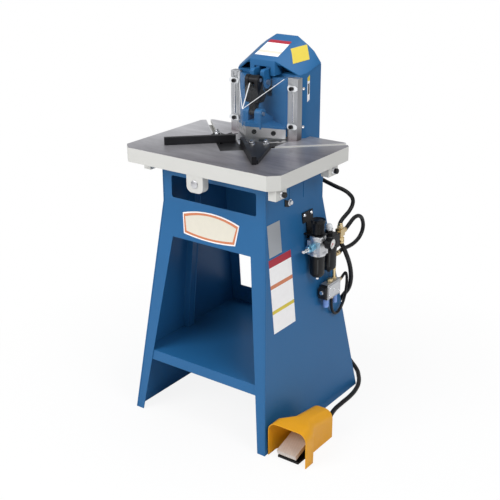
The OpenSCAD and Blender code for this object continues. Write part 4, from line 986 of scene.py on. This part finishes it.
def makeHose(name, p):
    curve = bpy.data.curves.new(name, "CURVE")
    curve.dimensions = "3D"
    curve.resolution_u = 10
    curve.bevel_depth = p["diameter"] / 2
    curve.bevel_resolution = 6
    curve.use_fill_caps = True
    points = [at(*spot) for spot in p["route"]]
    spline = curve.splines.new("BEZIER")
    spline.bezier_points.add(len(points) - 1)
    for knot, point in zip(spline.bezier_points, points):
        knot.co = point
        knot.handle_left_type = knot.handle_right_type = "AUTO"
    obj = bpy.data.objects.new(name, curve)
    scene.collection.objects.link(obj)
    curve.materials.append(finishes["hoseRubber"])
    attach(obj, "machine")
    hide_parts(p["node"])
    length = spline.calc_length()
    print(name, "length", round(length, 3))


for name, p in hoses.items():
    makeHose(name, p)

ferrule = [(0, 1.0), (1, 1.6), (9, 1.6), (11, 0.5)]  # steps along it, and how far each stands off the hose
sleeves = []
for p in hoses.values():
    r = p["diameter"] * 500
    steps = [(along, r + stand) for along, stand in ferrule]
    sleeves += [turned("hoseSleeve", place, axis, steps, 28) for place, axis in p["ferrules"]]
dress(joined(sleeves, "hoseSleeves"), "turnedBrass", slot="brass")
print("hoses laid")

floorLook = {  # shadows stay near the machine, and past the fade the floor is plain white
    "size": 16, "colour": (0.86, 0.86, 0.86, 1), "white": (1, 1, 1, 1),
    "nearWhite": 0.88, "fadeFrom": 0.55, "fadeRate": 1.4,
}


def makeFloor(look):
    deselect()
    bpy.ops.mesh.primitive_plane_add(size=look["size"], location=(0, 0, 0))
    floor = bpy.context.object
    floor.name = "studioFloor"
    p = Paint("studioFloor", {"Roughness": 0.95, "Base Color": look["colour"], "Specular IOR Level": 0.0})
    seen = p.node("ShaderNodeLightPath", out="Is Camera Ray")
    x, y = p.axes()[:2]
    fade = (((x * x + y * y) ** 0.5 - look["fadeFrom"]) * look["fadeRate"]).clamp()
    glow = p.node("ShaderNodeEmission", {}, {"Color": look["white"], "Strength": 1.0})
    share = seen * (look["nearWhite"] + fade * (1 - look["nearWhite"]))
    blend = p.node("ShaderNodeMixShader", {}, {0: share, 1: Wire(p, p.shader.outputs[0]), 2: glow})
    p.feed(p.tree.nodes["Material Output"].inputs["Surface"], blend)
    floor.data.materials.append(p.material)


worldLook = {"seen": (1, 1, 1, 1), "seenStrength": 1.0, "soft": (0.97, 0.98, 1, 1), "softStrength": 0.42}


def makeWorld(look):  # white to the camera and through clear sheet, soft to everything else
    world = bpy.data.worlds.new("studioWorld")
    scene.world = world
    world.use_nodes = True
    world.node_tree.nodes.clear()
    sky = Nodes(world.node_tree)
    seen = sky.maths("MAXIMUM", sky.node("ShaderNodeLightPath", out="Is Camera Ray"),
                     sky.node("ShaderNodeLightPath", out="Is Transmission Ray"))
    white = sky.node("ShaderNodeBackground", {}, {"Color": look["seen"], "Strength": look["seenStrength"]})
    soft = sky.node("ShaderNodeBackground", {}, {"Color": look["soft"], "Strength": look["softStrength"]})
    mixed = sky.node("ShaderNodeMixShader", {}, {0: seen, 1: soft, 2: white})
    sky.node("ShaderNodeOutputWorld", {}, {"Surface": mixed})


lamps = {  # places in the frame's metres, power in watts
    "keyLamp": {"place": (-1.2, -3.0, 2.6), "aim": (0, 0, 0.6), "size": 2.2, "power": 90},
    "sideLamp": {"place": (3.0, -0.9, 3.2), "aim": (0, 0, 0.6), "size": 1.8, "power": 60},
    "topLamp": {"place": (0.2, 0.2, 3.6), "aim": (0, 0, 0.9), "size": 2.2, "power": 30},
}


def makeLamp(name, p):
    data = bpy.data.lights.new(name, "AREA")
    data.size, data.energy = p["size"], p["power"]
    lamp = bpy.data.objects.new(name, data)
    scene.collection.objects.link(lamp)
    lamp.location = p["place"]
    lamp.rotation_euler = (Vector(p["place"]) - Vector(p["aim"])).to_track_quat("Z", "Y").to_euler()


makeFloor(floorLook)
makeWorld(worldLook)
for name, p in lamps.items():
    makeLamp(name, p)
print("studio lit")
